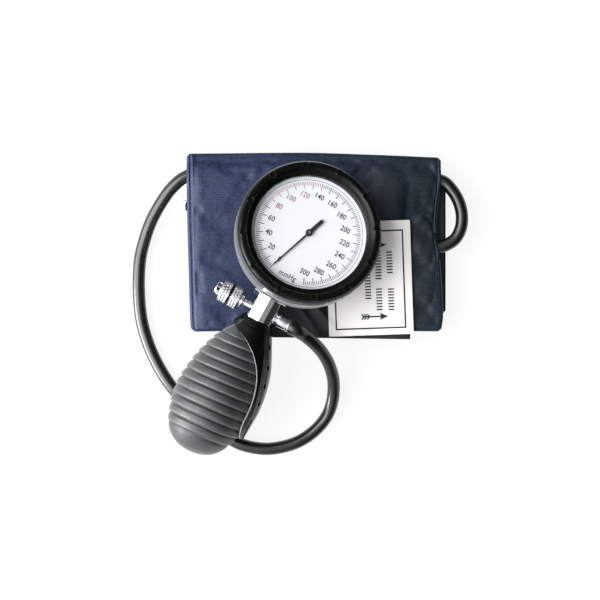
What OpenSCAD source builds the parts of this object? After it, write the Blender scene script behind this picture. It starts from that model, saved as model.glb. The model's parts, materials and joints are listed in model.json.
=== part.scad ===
// Aneroid blood pressure monitor for the upper arm: a palm gauge with its bulb, hose and folded cuff.
// Millimetres, +Z up. The origin is the middle of the footprint, at table level.
// The hand unit (gauge, manifold, valve and bulb) lies on the folded cuff and the table.

/* [Gauge] */
// Thickness of the shock ring around the neck of the case
ring_wall = 3.8; // [3:0.1:6]
// Thickness of the case's neck around the dial
neck_wall = 2.9; // [2:0.1:4]
// Depth of the gauge, from the front of the ring to its back
gauge_depth = 27; // [26:0.5:30]
// Diameter of the dial plate and the lens
dial_d = 64.4; // [63:0.2:65.4]
// Thickness of the lens
lens_t = 1.5; // [1:0.1:2.5]
// Air between the dial and the lens, where the pointer turns
dial_air = 2.3; // [2.2:0.1:3]
// Length of the pointer, from its axis to its tip
pointer_length = 26.4; // [20:0.2:28]
// Number of moulded dimples around the ring
dimple_count = 12; // [6:1:16]

/* [Movement] */
// Angle that the pointer turns from empty to full scale
scale_sweep = 318.5; // [270:0.5:325]
// Diameter of the pressure capsule
capsule_d = 26; // [22:0.5:26]
// Thickness of the pressure capsule
capsule_t = 4.7; // [3:0.1:5]
// Number of teeth on the pinion
pinion_teeth = 10; // [10:1:10]
// Number of pinion turns in one full turn of the sector
gear_ratio = 12; // [12:1:12]

/* [Manifold] */
// Width of the manifold block across its flats
block_w = 13.5; // [12:0.1:15]
// Length of the manifold block, from the case to the bulb
block_len = 11.4; // [11.2:0.1:14]
// Diameter of the knurled valve knob
knob_d = 12.5; // [10:0.1:14]
// Length of the knurled valve knob
knob_len = 11.3; // [9.5:0.1:14]

/* [Bulb and handle] */
// Largest radius of the bulb
bulb_r = 22.9; // [18:0.1:22.9]
// Length of the bulb from its neck to its end
bulb_len = 79; // [66:0.5:82]
// Thickness of the bulb's wall
bulb_wall = 2.2; // [1.6:0.1:3]
// Thickness of the handle shell
spoon_t = 1; // [0.8:0.1:1.4]

/* [Hose] */
// Outer diameter of the hose
hose_d = 7; // [6:0.1:7.2]

/* [Cuff] */
// Width of the folded cuff
cuff_w = 139; // [134:0.5:144]
// Depth of the folded cuff
cuff_h = 97.5; // [95:0.5:100]
// Thickness of the folded cuff
cuff_t = 18.3; // [17.6:0.1:21]
// Width of the printed label
label_w = 46; // [40:0.5:48]
// Height of the printed label
label_h = 62.3; // [55:0.1:64]

/* [Hidden] */
$fn = 64;

// Clearances: a running fit between turning parts, the gap between loose layers,
// and the gap kept between a moving part and its neighbour.
running_fit = 0.03;
layer_gap = 0.1;
free_gap = 0.15;
// Overshoot of a cutting solid past the face it cuts
cut = 1;

// Where the layout's own zero lies from the middle of the whole footprint
footprint_x = 4.816;
footprint_y = -2.13;

// The gauge's radii, from the dial outwards
dial_r = dial_d / 2;
case_bore_r = dial_r + layer_gap;
case_neck_r = case_bore_r + neck_wall;
ring_r = case_neck_r + ring_wall;
case_step = 0.2;
case_r = ring_r - case_step;
case_wall = 3;
cavity_r = case_r - case_wall;
back_round = 15;
back_r = case_r - back_round;
window_lip = 1.2;
window_r = dial_r - window_lip;
window_cone = 3.2;
ledge_w = 2.6;
dimple_r = 1.2;
dimple_depth = 0.8;
dimple_inset = 3;
ring_round = 1.6;

// Heights inside the gauge, from its back plane towards the dial
band_z = 11;
back_t = 2;
ring_skirt = 7.8;
ring_cap = 2.6;
ring_z = gauge_depth - ring_skirt;
lip_z = gauge_depth - ring_cap;
lens_z = lip_z - lens_t;
dial_z = lens_z - dial_air;
dial_t = 0.5;
ledge_t = 1.5;
ledge_z = dial_z - dial_t;

// Heights of the movement, tied to the underside of the dial
bridge_t = 0.6;
bridge_z = ledge_z - 1.3;
plate_t = 0.8;
plate_z = ledge_z - 5.9;
plate_top = plate_z + plate_t;
plate_r = 23;
pin_room = 1.2;
capsule_z = plate_z - pin_room - capsule_t;
capsule_at = [0, -5];
pillar_at = 18;
pillar_r = 1.6;
screw_r = 0.8;
screw_head_r = 1.9;
screw_head_t = 0.8;
screw_depth = 3;
post_r = 0.9;
base_flange_r = 9;
base_flange_t = 1.5;
base_boss_r = 6;
base_chamber_r = 3;
base_chamber_t = 2;
stem_end = base_boss_r + 1.5;

// The gear pair: the pinion turns gear_ratio times faster than the sector
tooth_module = 0.2;
pinion_r = tooth_module * pinion_teeth / 2;
sector_r = pinion_r * gear_ratio;
sector_x = -(pinion_r + sector_r);
sector_swing = scale_sweep / gear_ratio;
tooth_h = 0.8 * tooth_module;
tooth_root = 1.3 * tooth_module;
arbor_r = 0.5;
sector_arbor_r = 0.6;
gear_t = 0.6;
gear_z = bridge_z - 1.3;
tooth_step = 360 / (pinion_teeth * gear_ratio);
sector_teeth = ceil(sector_swing / tooth_step) + 4;

// The linkage under the gears: push pin, rocking shaft, finger and crank
crank_len = 5;
crank_pin_r = 0.5;
crank_z = capsule_z - 2.1;
crank_t = 0.7;
shaft_z = plate_top + 0.9;
finger_t = 0.8;
crank_rest = sector_swing / 2;
crank_pin_x = sector_x - crank_len * cos(crank_rest);
crank_pin_y = crank_len * sin(crank_rest);
shaft_y = crank_pin_y + crank_pin_r + free_gap + finger_t / 2;
arm_x = -7;
arm_t = 0.8;
ear_t = 1;
ear_w = 1.8;
shaft_out = 3.5;
shaft_from = crank_pin_x - shaft_out;
shaft_to = arm_x + 3.3;

// The pointer rests at the empty mark, left of the dial's foot
pointer_rest = -90 - (360 - scale_sweep) / 2;
pointer_t = 0.4;
tail_len = 10.2;
tail_half = 1.05;
tail_corner = 0.8;
pointer_z = dial_z + 0.7;
hub_r = 1.9;
hub_pin_r = 0.85;
hub_z = pointer_z + pointer_t;
hub_t = 0.6;

// The gauge lies on the cuff: turned on the table, tipped back and rolled a little
hand_turn = 27;
gauge_pitch = 13.4;
gauge_roll = 3.1;
gauge_x = 1.44;
gauge_y = 31.75;
gauge_tilt = acos(cos(gauge_pitch) * cos(gauge_roll));

// The manifold hangs from the case and lets the bulb down to the table
stem_r = 2;
stem_z = 6;
stem_x = -2;
flange_w = 19.6;
flange_h = 11;
flange_t = 0.8;
flange_r = case_r + flange_t;
stem_at = [stem_x, -flange_r, stem_z];
stem_top = flange_r - flange_t / 2;
hand_yaw = 1.6;
bulb_slope = 11;
block_half = block_w / 2;
air_r = 1;
main_bore_r = 1.2;

// Corners of the block's section, as fractions of its half width: a flat top, sloped below it
block_corners = [[-1, 0.58], [-0.87, 0.83], [-0.68, 0.92], [0.06, 1], [0.5, 0.87], [0.9, 0.58],
  [1, 0.49], [1, -0.52], [0.52, -1], [-0.52, -1], [-1, -0.52]];

// The release valve, measured outwards from the block's left face
valve_y = 6.6;
neck_r = 1.95;
neck_len = 5;
neck_thread = 2;
seat_len = 2;
collar_r = 3.85;
collar_t = 2;
knob_z = neck_len + collar_t + free_gap;
knob_r = knob_d / 2;
journal_r = 3;
journal_len = 3;
journal_lip = 0.8;
journal_lip_r = 3.3;
knob_bore_r = 3.4;
knob_end_t = 2.8;
needle_r = 1.1;
needle_head_r = 2;
tip_r = 3.4;
tip_len = 3.1;

// The hose connector, measured outwards from the block's right face
connector_flange_r = 2.5;
connector_flange_t = 2.75;
connector_core_r = 2;
ferrule_r = hose_d / 2;
ferrule_len = 7;
connector_thread = 3;
connector_len = connector_flange_t + ferrule_len;

// The bulb's fittings, measured along its axis from the block
spigot_r = 3.6;
spigot_len = 12;
spigot_thread_r = 2.5;
spigot_thread = 3;
spigot_wall = 2.8;
disc_chamber_r = 2.4;
disc_chamber_len = 5.2;
disc_t = 1;
disc_gap = 0.2;
neck_outer_r = 5.2;
neck_flare = 0.5;
neck_long = 4.5;
bulb_start = 2.2;
bulb_end = bulb_start + bulb_len;
inlet_r = 4.2;
inlet_len = 6.7;
inlet_z = bulb_end - inlet_len - 0.2;
inlet_lip = 0.5;
inlet_chamber_r = 2.6;
inlet_chamber_len = 3.6;
inlet_face_r = 3.2;
inlet_face_t = 1;
screen_t = 0.4;

// Bulb profile: [fraction of its length, fraction of its largest radius]
bulb_knots = [[0.085, 0.44], [0.17, 0.655], [0.285, 0.815], [0.4, 0.93], [0.5, 0.985], [0.6, 1],
  [0.715, 0.965], [0.795, 0.885], [0.87, 0.79], [0.94, 0.635], [0.985, 0.42], [1, 0.22]];

// Handle: a collar on the spigot, then a cup round the bulb's neck, then a shell up its side.
// [distance along the bulb's axis, radius, half of the angle it spans, wall]
spoon_mid = 5;
spoon_stations = [[0, 7.8, 176, 4], [1, 8.6, 176, 4.8], [2, 9.2, 176, 5.4], [2.3, 9.4, 176, spoon_t],
  [3.4, 10, 175, spoon_t], [4.5, 10.7, 174, spoon_t], [6, 11.4, 172, spoon_t],
  [7, 11.9, 140, spoon_t], [8.4, 12.65, 108, spoon_t], [9.9, 13.4, 87, spoon_t],
  [12, 14.5, 73, spoon_t], [14.5, 15.8, 61, spoon_t], [18, 17.5, 51, spoon_t],
  [21, 18.9, 45, spoon_t], [25.3, 20.5, 39.3, spoon_t], [31.4, 22.2, 34.7, spoon_t],
  [36, 23.1, 32.6, spoon_t], [40.3, 23.75, 31.4, spoon_t], [46.7, 24.25, 31, spoon_t],
  [51.8, 24.15, 29.5, spoon_t], [56, 23.95, 25.5, spoon_t], [59, 23.8, 20.5, spoon_t],
  [61, 23.7, 13, spoon_t], [62, 23.7, 4, spoon_t]];
spoon_steps = 12;

// The cuff's layers, from the table up
cuff_left = -61.7;
cuff_front = -17.5;
corner_r = 4;
lower_t = 5.2;
inner_t = 3;
inner_z = lower_t + layer_gap;
upper_z = inner_z + inner_t + layer_gap;
inner_out = 3.9;
flap_t = 1;
flap_left = -19.4;
flap_w = 80;
flap_over = 4.1;
flap_h = 64.3;
flap_tilt = -0.8;
label_t = 0.3;
label_out = 1.9;
label_up = 3.4;
label_tilt = 1.4;

// How far the gauge's rounded back reaches below the middle of its back plane, and where that is
back_reach = back_r * sin(gauge_tilt) - band_z * cos(gauge_tilt)
  + norm([back_round * sin(gauge_tilt), band_z * cos(gauge_tilt)]);
gauge_at = [gauge_x, gauge_y, cuff_t + flap_t + label_t + layer_gap + back_reach];

// Pocket in the upper fold, for the bladder and the hook tape
pocket_z = upper_z + 2;
pocket_t = 5.6;
pocket_left = -52;
pocket_w = 119;
pocket_front = -12;
pocket_h = 69;
bladder_t = 4.1;
hook_gap = 4;
hook_front = 3;
hook_w = 85;
hook_h = 60;
hook_t = 0.8;
bladder_inset = 1;
port_y = 29;
port_len = 4;
port_w = 9;
bladder_right = pocket_left + pocket_w - bladder_inset;

// The metal bar that the cuff's end is threaded through
bar_r = 1.1;
bar_w = 8.2;
bar_out = 3.4;
bar_len = 130;
bar_y = 52;
bar_z = inner_z + inner_t / 2;
bar_slot = 1;

// The hose's route on the table, chosen by hand: from the connector, round the bulb,
// through the cuff and back into the bladder's port
hose_sides = 10;
hose_straight = 4;
hose_z = hose_d / 2 + 0.1;
hose_room = 0.6;
hose_in_z = upper_z + (hose_d + hose_room) / 2;
channel_back = 75;
channel_w = 13.5;
hose_route = [[1.5, -18.5, 36.5], [7, -23, 32.5], [12, -28.5, 27], [16, -35.5, 21], [18.5, -45, 14],
  [18, -56, 8], [14.5, -65.5, 4.6], [7, -74, hose_z], [-3, -80, hose_z], [-16, -83, hose_z],
  [-28, -82, hose_z], [-38, -78, hose_z], [-51, -68, hose_z], [-63, -58, hose_z],
  [-72, -48, hose_z], [-79, -37, hose_z], [-84.5, -25, hose_z], [-88.5, -11, hose_z],
  [-90, 5, hose_z], [-89.5, 21, hose_z], [-87, 32.5, 4.6], [-82.5, 44.5, 7],
  [-76, 55.5, 9.8], [-70, 63, hose_in_z - 0.8], [-63.5, 68, hose_in_z], [-55, 69.5, hose_in_z],
  [-15, 69.2, hose_in_z], [25, 68.8, hose_in_z], [65, 68, hose_in_z], [78, 66, hose_in_z],
  [83.5, 61.5, hose_in_z], [87.5, 55, hose_in_z], [89.5, 47.5, hose_in_z],
  [89, 40, hose_in_z], [86, 34, hose_in_z], [81, 30.5, hose_in_z], [76, 29, hose_in_z]];

// Turns of a point about each axis, as rotate() makes them
function turned_x(p, a) = [p[0], p[1] * cos(a) - p[2] * sin(a), p[1] * sin(a) + p[2] * cos(a)];
function turned_y(p, a) = [p[0] * cos(a) + p[2] * sin(a), p[1], p[2] * cos(a) - p[0] * sin(a)];
function turned_z(p, a) = [p[0] * cos(a) - p[1] * sin(a), p[0] * sin(a) + p[1] * cos(a), p[2]];

// A point of the gauge's frame, or of the manifold's, in the layout
function gauge_point(p) =
  gauge_at + turned_z(turned_x(turned_y(p, gauge_roll), -gauge_pitch), -hand_turn);
function hand_point(p) =
  gauge_point(stem_at + turned_y(turned_x(turned_z(turned_x(p, bulb_slope), -hand_yaw),
    gauge_pitch), -gauge_roll));

// Catmull-Rom curve through a list of knots, with a number of steps between each two
function knot(k, i) = k[min(max(i, 0), len(k) - 1)];
function blend(a, b, c, d, t) =
  0.5 * (2 * b + (c - a) * t + (2 * a - 5 * b + 4 * c - d) * pow(t, 2)
    + (3 * b - a - 3 * c + d) * pow(t, 3));
function curve(k, steps) = concat(
  [for (i = [0 : len(k) - 2], j = [0 : steps - 1])
    blend(knot(k, i - 1), k[i], k[i + 1], knot(k, i + 2), j / steps)],
  [k[len(k) - 1]]);

// Corners of a rectangle with rounded corners, standing on its lower left corner
function rounded(w, h, r) = [for (c = [[w - r, r, -90], [w - r, h - r, 0], [r, h - r, 90], [r, r, 180]],
  a = [0 : 15 : 90]) [c[0] + r * cos(c[2] + a), c[1] + r * sin(c[2] + a)]];

// Points of an ellipse's quarter from below its centre out to its side
function quarter(cx, cz, rx, rz) = [for (a = [0 : 10 : 90]) [cx + rx * sin(a), cz - rz * cos(a)]];

module laid() translate([-footprint_x, -footprint_y, 0]) children();
module in_gauge() laid() translate(gauge_at) rotate([0, 0, -hand_turn]) rotate([-gauge_pitch, 0, 0])
  rotate([0, gauge_roll, 0]) children();
module in_hand() in_gauge() translate(stem_at) rotate([0, -gauge_roll, 0]) rotate([gauge_pitch, 0, 0])
  rotate([0, 0, -hand_yaw]) rotate([bulb_slope, 0, 0]) children();
module in_valve() in_hand() translate([-block_half, -valve_y, 0]) rotate([0, -90, 0]) children();
module in_port() in_hand() translate([block_half, -valve_y, 0]) rotate([0, 90, 0]) children();
module in_bulb() in_hand() translate([0, -block_len, 0]) rotate([90, 0, 0]) children();

// A tube, a cylinder and a block given by their lower ends
module tube(z, h, outer, inner) translate([0, 0, z]) difference() {
  cylinder(h = h, r = outer);
  translate([0, 0, -cut]) cylinder(h = h + 2 * cut, r = inner);
}
module rod(z, h, r) translate([0, 0, z]) cylinder(h = h, r = r);
module slab(at, size) translate(at) cube(size);
module plate(at, w, h, t, r) translate(at) linear_extrude(t) polygon(rounded(w, h, r));

// One closed skin over a row of rings that all have the same number of points
module lofted(rings) {
  m = len(rings[0]);
  n = len(rings);
  points = [for (ring = rings, p = ring) p];
  sides = [for (i = [0 : n - 2], j = [0 : m - 1], side = [0, 1])
    side == 0 ? [i * m + j, (i + 1) * m + j, (i + 1) * m + (j + 1) % m]
      : [i * m + j, (i + 1) * m + (j + 1) % m, i * m + (j + 1) % m]];
  ends = [[for (j = [0 : m - 1]) j], [for (j = [m - 1 : -1 : 0]) (n - 1) * m + j]];
  polyhedron(points = points, faces = concat(ends, sides));
}

// ---- Gauge case ----

// Half section of the case's outside, from the axis at the back up to the neck
case_outline = concat([[0, 0]], quarter(back_r, band_z, case_r - back_r, band_z),
  [[case_r, ring_z - layer_gap], [case_neck_r, ring_z - layer_gap], [case_neck_r, lip_z], [0, lip_z]]);
case_hollow = concat(
  [[0, back_t]], quarter(back_r - back_t, band_z, cavity_r - back_r + back_t, band_z - back_t),
  [[cavity_r, ledge_z - ledge_t], [dial_r - ledge_w, ledge_z - ledge_t], [dial_r - ledge_w, ledge_z],
  [case_bore_r, ledge_z], [case_bore_r, lip_z + cut], [0, lip_z + cut]]);

module stem_line(r, from, to)
  translate([stem_x, -from, stem_z]) rotate([90, 0, 0]) cylinder(h = to - from, r = r);

module rear_case() color("#26282a") in_gauge() difference() {
  rotate_extrude() polygon(case_outline);
  rotate_extrude() polygon(case_hollow);
  stem_line(stem_r, cavity_r - back_round, case_r + cut);
}

module bezel_ring() color("#1d1f1f") in_gauge() difference() {
  rotate_extrude() polygon(concat(
    [[case_neck_r, ring_z], [ring_r - 0.4, ring_z], [ring_r, ring_z + 0.4]],
    [for (a = [0 : 15 : 90])
      [ring_r - ring_round + ring_round * cos(a), gauge_depth - ring_round + ring_round * sin(a)]],
    [[window_r + window_cone, gauge_depth], [window_r + 0.2, lip_z + 0.5], [window_r, lip_z + 0.3],
    [window_r, lip_z], [case_neck_r, lip_z]]));
  for (i = [0 : dimple_count - 1]) rotate([0, 0, i * 360 / dimple_count])
    translate([ring_r - dimple_inset, 0, gauge_depth - dimple_depth])
      cylinder(h = dimple_depth + cut, r = dimple_r, $fn = 24);
}

module lens() color("#dfe8ea", 0.35) in_gauge() rod(lens_z, lens_t, dial_r);

module spacer_ring() color("#151617") in_gauge() tube(dial_z, dial_air, dial_r, window_r + 0.1);

module dial_plate() color("#f3f4f6") in_gauge() tube(ledge_z, dial_t, dial_r, 1.2);

// ---- Movement ----

module at_pillars() for (a = [90, 210, 330])
  translate([pillar_at * cos(a), pillar_at * sin(a), 0]) children();

module at_capsule() translate([capsule_at[0], capsule_at[1], 0]) children();

module pillars() color("#b89a5a") in_gauge() at_pillars() difference() {
  rod(back_t, plate_z - back_t, pillar_r);
  rod(plate_z - screw_depth - 0.2, screw_depth + 0.2 + cut, screw_r);
}

module base_plate() color("#c6a562") in_gauge() difference() {
  union() {
    rod(plate_z, plate_t, plate_r);
    for (x = [shaft_from, shaft_to - ear_t])
      slab([x, shaft_y - ear_w / 2, plate_top], [ear_t, ear_w, shaft_z - plate_top + 0.8]);
  }
  rod(plate_z - cut, plate_t + 2 * cut, arbor_r + running_fit);
  translate([sector_x, 0, 0]) rod(plate_z - cut, plate_t + 2 * cut, sector_arbor_r + running_fit);
  at_capsule() rod(plate_z - cut, plate_t + 2 * cut, 3.2);
  at_pillars() rod(plate_z - cut, plate_t + 2 * cut, screw_r);
  slab([crank_pin_x - 1.9, shaft_y - 4.6, plate_z - cut], [3.8, 6.6, plate_t + 2 * cut]);
  translate([shaft_from - cut, shaft_y, shaft_z]) rotate([0, 90, 0])
    cylinder(h = shaft_to - shaft_from + 2 * cut, r = arbor_r + running_fit);
}

module movement_screws() color("#a8a9ab") in_gauge() at_pillars() difference() {
  union() {
    rod(plate_z - screw_depth, screw_depth + plate_t, screw_r);
    rod(plate_top, screw_head_t, screw_head_r);
  }
  slab([-screw_head_r - cut, -0.25, plate_top + screw_head_t / 2], [2 * screw_head_r + 2 * cut, 0.5, 1]);
}

module bridge_posts() color("#b89a5a") in_gauge() for (at = [[4.5, 3], [sector_x - 2.5, -3]])
  translate([at[0], at[1], 0]) rod(plate_top, bridge_z - plate_top, post_r);

module bridge_plate() color("#c6a562") in_gauge() difference() {
  slab([sector_x - 4, -4.5, bridge_z], [-sector_x + 10, 9, bridge_t]);
  rod(bridge_z - cut, bridge_t + 2 * cut, arbor_r + running_fit);
  translate([sector_x, 0, 0]) rod(bridge_z - cut, bridge_t + 2 * cut, sector_arbor_r + running_fit);
}

module capsule_base() color("#b89a5a") in_gauge() difference() {
  at_capsule() union() {
    rod(back_t, base_flange_t, base_flange_r);
    rod(back_t, capsule_z - back_t, base_boss_r);
  }
  at_capsule() rod(stem_z - base_chamber_t / 2, base_chamber_t, base_chamber_r);
  at_capsule() rod(stem_z, capsule_z - stem_z + cut, air_r);
  stem_line(stem_r, stem_end, 2 * base_flange_r);
}

// Two corrugated discs joined at their rim, with air between them
disc_wall = 0.3;
ripple_h = 0.35;
ripple_pitch = 4;
rim_drop = 0.9;
function capsule_half(r) =
  capsule_t / 2 - ripple_h * (1 - cos(360 * r / ripple_pitch)) - rim_drop * pow(2 * r / capsule_d, 6);
module capsule() color("#c98f5a") in_gauge() at_capsule() translate([0, 0, capsule_z + capsule_t / 2])
  difference() {
    rotate_extrude() polygon(concat(
      [for (r = [0 : 0.5 : capsule_d / 2]) [r, -capsule_half(r)]],
      [for (r = [capsule_d / 2 : -0.5 : 0]) [r, capsule_half(r)]]));
    rotate_extrude() polygon(concat(
      [for (r = [0 : 0.5 : capsule_d / 2 - 1]) [r, disc_wall - capsule_half(r)]],
      [for (r = [capsule_d / 2 - 1 : -0.5 : 0]) [r, capsule_half(r) - disc_wall]]));
    rod(-capsule_t, capsule_t, air_r);
  }

module push_pin() color("#9c9ea0") in_gauge() at_capsule() {
  rod(capsule_z + capsule_t, 0.5, 2.5);
  rod(capsule_z + capsule_t, shaft_z - arm_t / 2 - free_gap - capsule_z - capsule_t, 0.8);
}

module rocking_shaft() color("#a8a9ab") in_gauge() {
  translate([shaft_from, shaft_y, shaft_z]) rotate([0, 90, 0])
    cylinder(h = shaft_to - shaft_from, r = arbor_r);
  translate([0, 0, shaft_z - arm_t / 2]) linear_extrude(arm_t)
    polygon([[arm_x - 0.8, shaft_y - 0.6], [arm_x + 0.8, shaft_y + 0.4], [1.2, capsule_at[1]],
      [0.8, capsule_at[1] - 1], [-1.2, capsule_at[1] - 0.4]]);
  slab([crank_pin_x - 1.5, shaft_y - finger_t / 2, crank_z + crank_t + 0.2],
    [3, finger_t, shaft_z - crank_z - crank_t - 0.2]);
}

module sector_arbor() color("#a8a9ab") in_gauge() {
  translate([sector_x, 0, 0]) rod(crank_z, bridge_z + bridge_t - crank_z, sector_arbor_r);
  difference() {
    union() {
      translate([0, 0, crank_z]) linear_extrude(crank_t)
        polygon([[sector_x, -1], [sector_x, 1], [crank_pin_x, crank_pin_y + 0.7],
          [crank_pin_x - 0.7, crank_pin_y], [crank_pin_x, crank_pin_y - 0.7]]);
      translate([sector_x, 0, 0]) rod(crank_z, crank_t, 1.4);
    }
    translate([sector_x, 0, 0]) rod(crank_z - cut, crank_t + 2 * cut, sector_arbor_r);
  }
  translate([crank_pin_x, crank_pin_y, 0]) rod(crank_z + crank_t, 1.3, crank_pin_r);
}

// A gear tooth as a thin wedge that stands on a root circle
tooth_foot_w = 0.34;
tooth_tip_w = 0.14;
module tooth(root, tip, t) linear_extrude(t)
  polygon([[root - 0.1, -tooth_foot_w / 2], [root, -tooth_foot_w / 2], [tip, -tooth_tip_w / 2],
    [tip, tooth_tip_w / 2], [root, tooth_foot_w / 2], [root - 0.1, tooth_foot_w / 2]]);

module sector_gear() color("#c6a562") in_gauge() translate([sector_x, 0, gear_z]) difference() {
  union() {
    rod(-0.3, gear_t + 0.6, 2);
    linear_extrude(gear_t) polygon(concat([[0, 0]], [for (i = [0 : 12])
      let (a = tooth_step * (1.5 - sector_teeth + 2 + i * (sector_teeth + 1) / 12) - tooth_step)
      [(sector_r - tooth_root) * cos(a), (sector_r - tooth_root) * sin(a)]]));
    for (i = [0 : sector_teeth - 1]) rotate([0, 0, tooth_step * (1.5 - i)])
      tooth(sector_r - tooth_root, sector_r + tooth_h, gear_t);
  }
  rod(-cut, 2 * cut + gear_t, sector_arbor_r);
}

module pinion_arbor() color("#a8a9ab") in_gauge() {
  rod(plate_z + 0.1, pointer_z - plate_z - 0.1 + pointer_t, arbor_r);
  rod(gear_z - 0.3, gear_t + 0.6, pinion_r - tooth_root);
  for (i = [0 : pinion_teeth - 1]) rotate([0, 0, 180 + i * 360 / pinion_teeth])
    translate([0, 0, gear_z - 0.3]) tooth(pinion_r - tooth_root, pinion_r + tooth_h, gear_t + 0.6);
  rod(hub_z, hub_t, hub_pin_r);
}

spring_turns = 4;
function spiral(r, a) = [(r + 0.8 * a / 360) * cos(a), (r + 0.8 * a / 360) * sin(a)];
module hairspring() color("#d9c48a") in_gauge() translate([0, 0, bridge_z + bridge_t + 0.1])
  linear_extrude(0.4) polygon(concat([for (a = [0 : 15 : 360 * spring_turns]) spiral(0.9, a)],
    [for (a = [360 * spring_turns : -15 : 0]) spiral(1.05, a)]));

module pointer() color("#111214") in_gauge() rotate([0, 0, pointer_rest]) translate([0, 0, pointer_z])
  difference() {
    linear_extrude(pointer_t) union() {
      polygon([[0, -0.55], [pointer_length - 1, -0.32], [pointer_length, 0],
        [pointer_length - 1, 0.32], [0, 0.55]]);
      polygon([[0, -tail_half], [0, tail_half], [tail_corner - tail_len, tail_half],
        [-tail_len, tail_half / 2], [-tail_len, -tail_half / 2], [tail_corner - tail_len, -tail_half]]);
      circle(r = hub_r);
    }
    rod(-cut, pointer_t + 2 * cut, arbor_r);
  }

module pointer_hub() color("#17181a") in_gauge() tube(hub_z, hub_t, hub_r, hub_pin_r);

// ---- Manifold and release valve ----

module gauge_stem() color("#c9cbcd") in_gauge() difference() {
  stem_line(stem_r, stem_end, stem_top);
  stem_line(air_r, stem_end - cut, stem_top + cut);
}

module stem_flange() color("#d4d6d8") in_gauge() difference() {
  intersection() {
    rod(stem_z - flange_h / 2, flange_h, flange_r);
    slab([stem_x - flange_w / 2, -flange_r - cut, stem_z - flange_h], [flange_w, flange_r, 2 * flange_h]);
  }
  stem_line(stem_r, back_r, flange_r + cut);
  rotate_extrude() polygon(case_outline);
}

module manifold_block() color("#d4d6d8") difference() {
  in_hand() rotate([90, 0, 0]) difference() {
    translate([0, 0, -5]) linear_extrude(block_len + 5)
      polygon([for (p = block_corners) block_half * p]);
    rod(-8, block_len + 10, main_bore_r);
    rod(block_len - spigot_thread, spigot_thread + cut, spigot_thread_r);
  }
  in_gauge() rod(stem_z - 4 * flange_h, 8 * flange_h, flange_r);
  in_valve() rod(-neck_thread - seat_len, 10, neck_r);
  in_port() rod(-connector_thread, 10, connector_core_r);
  in_valve() rod(-block_w + 2, block_w - 4, air_r);
}

module valve_seat() color("#c8a868") in_valve() tube(-neck_thread - seat_len, seat_len, neck_r, air_r);

module valve_neck() color("#d4d6d8") in_valve() difference() {
  union() {
    rod(-neck_thread, neck_len + neck_thread, neck_r);
    rod(neck_len, collar_t, collar_r);
    rod(neck_len + collar_t, journal_len - journal_lip, journal_r);
    rod(neck_len + collar_t + journal_len - journal_lip, journal_lip, journal_lip_r);
  }
  rod(-neck_thread - cut, neck_thread + neck_len + collar_t + journal_len + 2 * cut,
    needle_r + running_fit);
}

module valve_needle() color("#c8a868") in_valve() {
  rod(-neck_thread - seat_len + 0.5, seat_len - 0.4, air_r - 2 * running_fit);
  rod(-neck_thread + 0.1, knob_z + journal_len + neck_thread + 0.9, needle_r);
  rod(knob_z + journal_len + 0.9, 1.4, needle_head_r);
}

module valve_knob() color("#dadcde") in_valve() difference() {
  rod(knob_z, knob_len, knob_r);
  rod(knob_z - cut, journal_len, journal_r + 2 * running_fit);
  rod(knob_z + journal_len - journal_lip - 0.2,
    knob_len - knob_end_t - journal_len + journal_lip + 0.2, knob_bore_r);
  tube(knob_z + knob_len / 2 - 0.35, 0.7, knob_r + cut, knob_r - 0.5);
}

module valve_tip() color("#d4d6d8") in_valve() difference() {
  rod(knob_z + knob_len, tip_len, tip_r);
  rod(knob_z + knob_len + 1, tip_len, 1);
  for (i = [0 : 3]) rotate([0, 0, 90 * i]) translate([0, 0, knob_z + knob_len + tip_len / 2])
    rotate([0, 90, 0]) cylinder(h = tip_r + cut, r = 0.5, $fn = 24);
}

module hose_connector() color("#d4d6d8") in_port() difference() {
  union() {
    rod(-connector_thread, connector_len + connector_thread, connector_core_r);
    rod(0, connector_flange_t, connector_flange_r);
  }
  rod(-connector_thread - cut, connector_len + connector_thread + 2 * cut, air_r);
}

module hose_ferrule() color("#dadcde") in_port()
  tube(connector_flange_t, ferrule_len, ferrule_r, connector_core_r);

// ---- Bulb, its valves and the handle ----

module bulb_spigot() color("#c8a868") in_bulb() difference() {
  union() {
    rod(-spigot_thread, spigot_thread, spigot_thread_r);
    rod(0, spigot_len, spigot_r);
  }
  rod(-spigot_thread - cut, spigot_len + spigot_thread + 2 * cut, air_r);
  rod(spigot_len - spigot_wall - disc_chamber_len, disc_chamber_len, disc_chamber_r);
}

module outlet_valve_disc() color("#7a3b2c") in_bulb()
  rod(spigot_len - spigot_wall - layer_gap - disc_t, disc_t, disc_chamber_r - disc_gap);

function spoon_arc(s, r, way) = [for (i = [0 : spoon_steps])
  let (a = spoon_mid + way * s[2] * (2 * i / spoon_steps - 1)) [r * cos(a), r * sin(a), s[0]]];
function spoon_ring(s) = concat(spoon_arc(s, s[1], 1), spoon_arc(s, s[1] - s[3], -1));
module handle_spoon() color("#0e0f10") in_bulb() lofted([for (s = spoon_stations) spoon_ring(s)]);

bulb_outline = curve([for (k = bulb_knots) [k[1] * bulb_r, bulb_start + k[0] * bulb_len]], 4);
bulb_inside = curve([for (k = bulb_knots) if (k[0] > 0.1 && k[0] < 0.95)
  [k[1] * bulb_r - bulb_wall, bulb_start + k[0] * bulb_len]], 4);
module bulb() color("#3f4143") in_bulb() difference() {
  rotate_extrude() polygon(concat([[0, bulb_start], [neck_outer_r, bulb_start],
    [neck_outer_r + neck_flare, bulb_start + neck_long]], bulb_outline, [[0, bulb_end]]));
  rotate_extrude() polygon(concat([[0, spigot_len - 1], [spigot_r, spigot_len - 1]], bulb_inside,
    [[inlet_r, bulb_end - bulb_wall], [0, bulb_end - bulb_wall]]));
  rod(0, spigot_len, spigot_r);
  rod(bulb_end - bulb_wall - cut, bulb_wall + 2 * cut, inlet_r);
}

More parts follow.
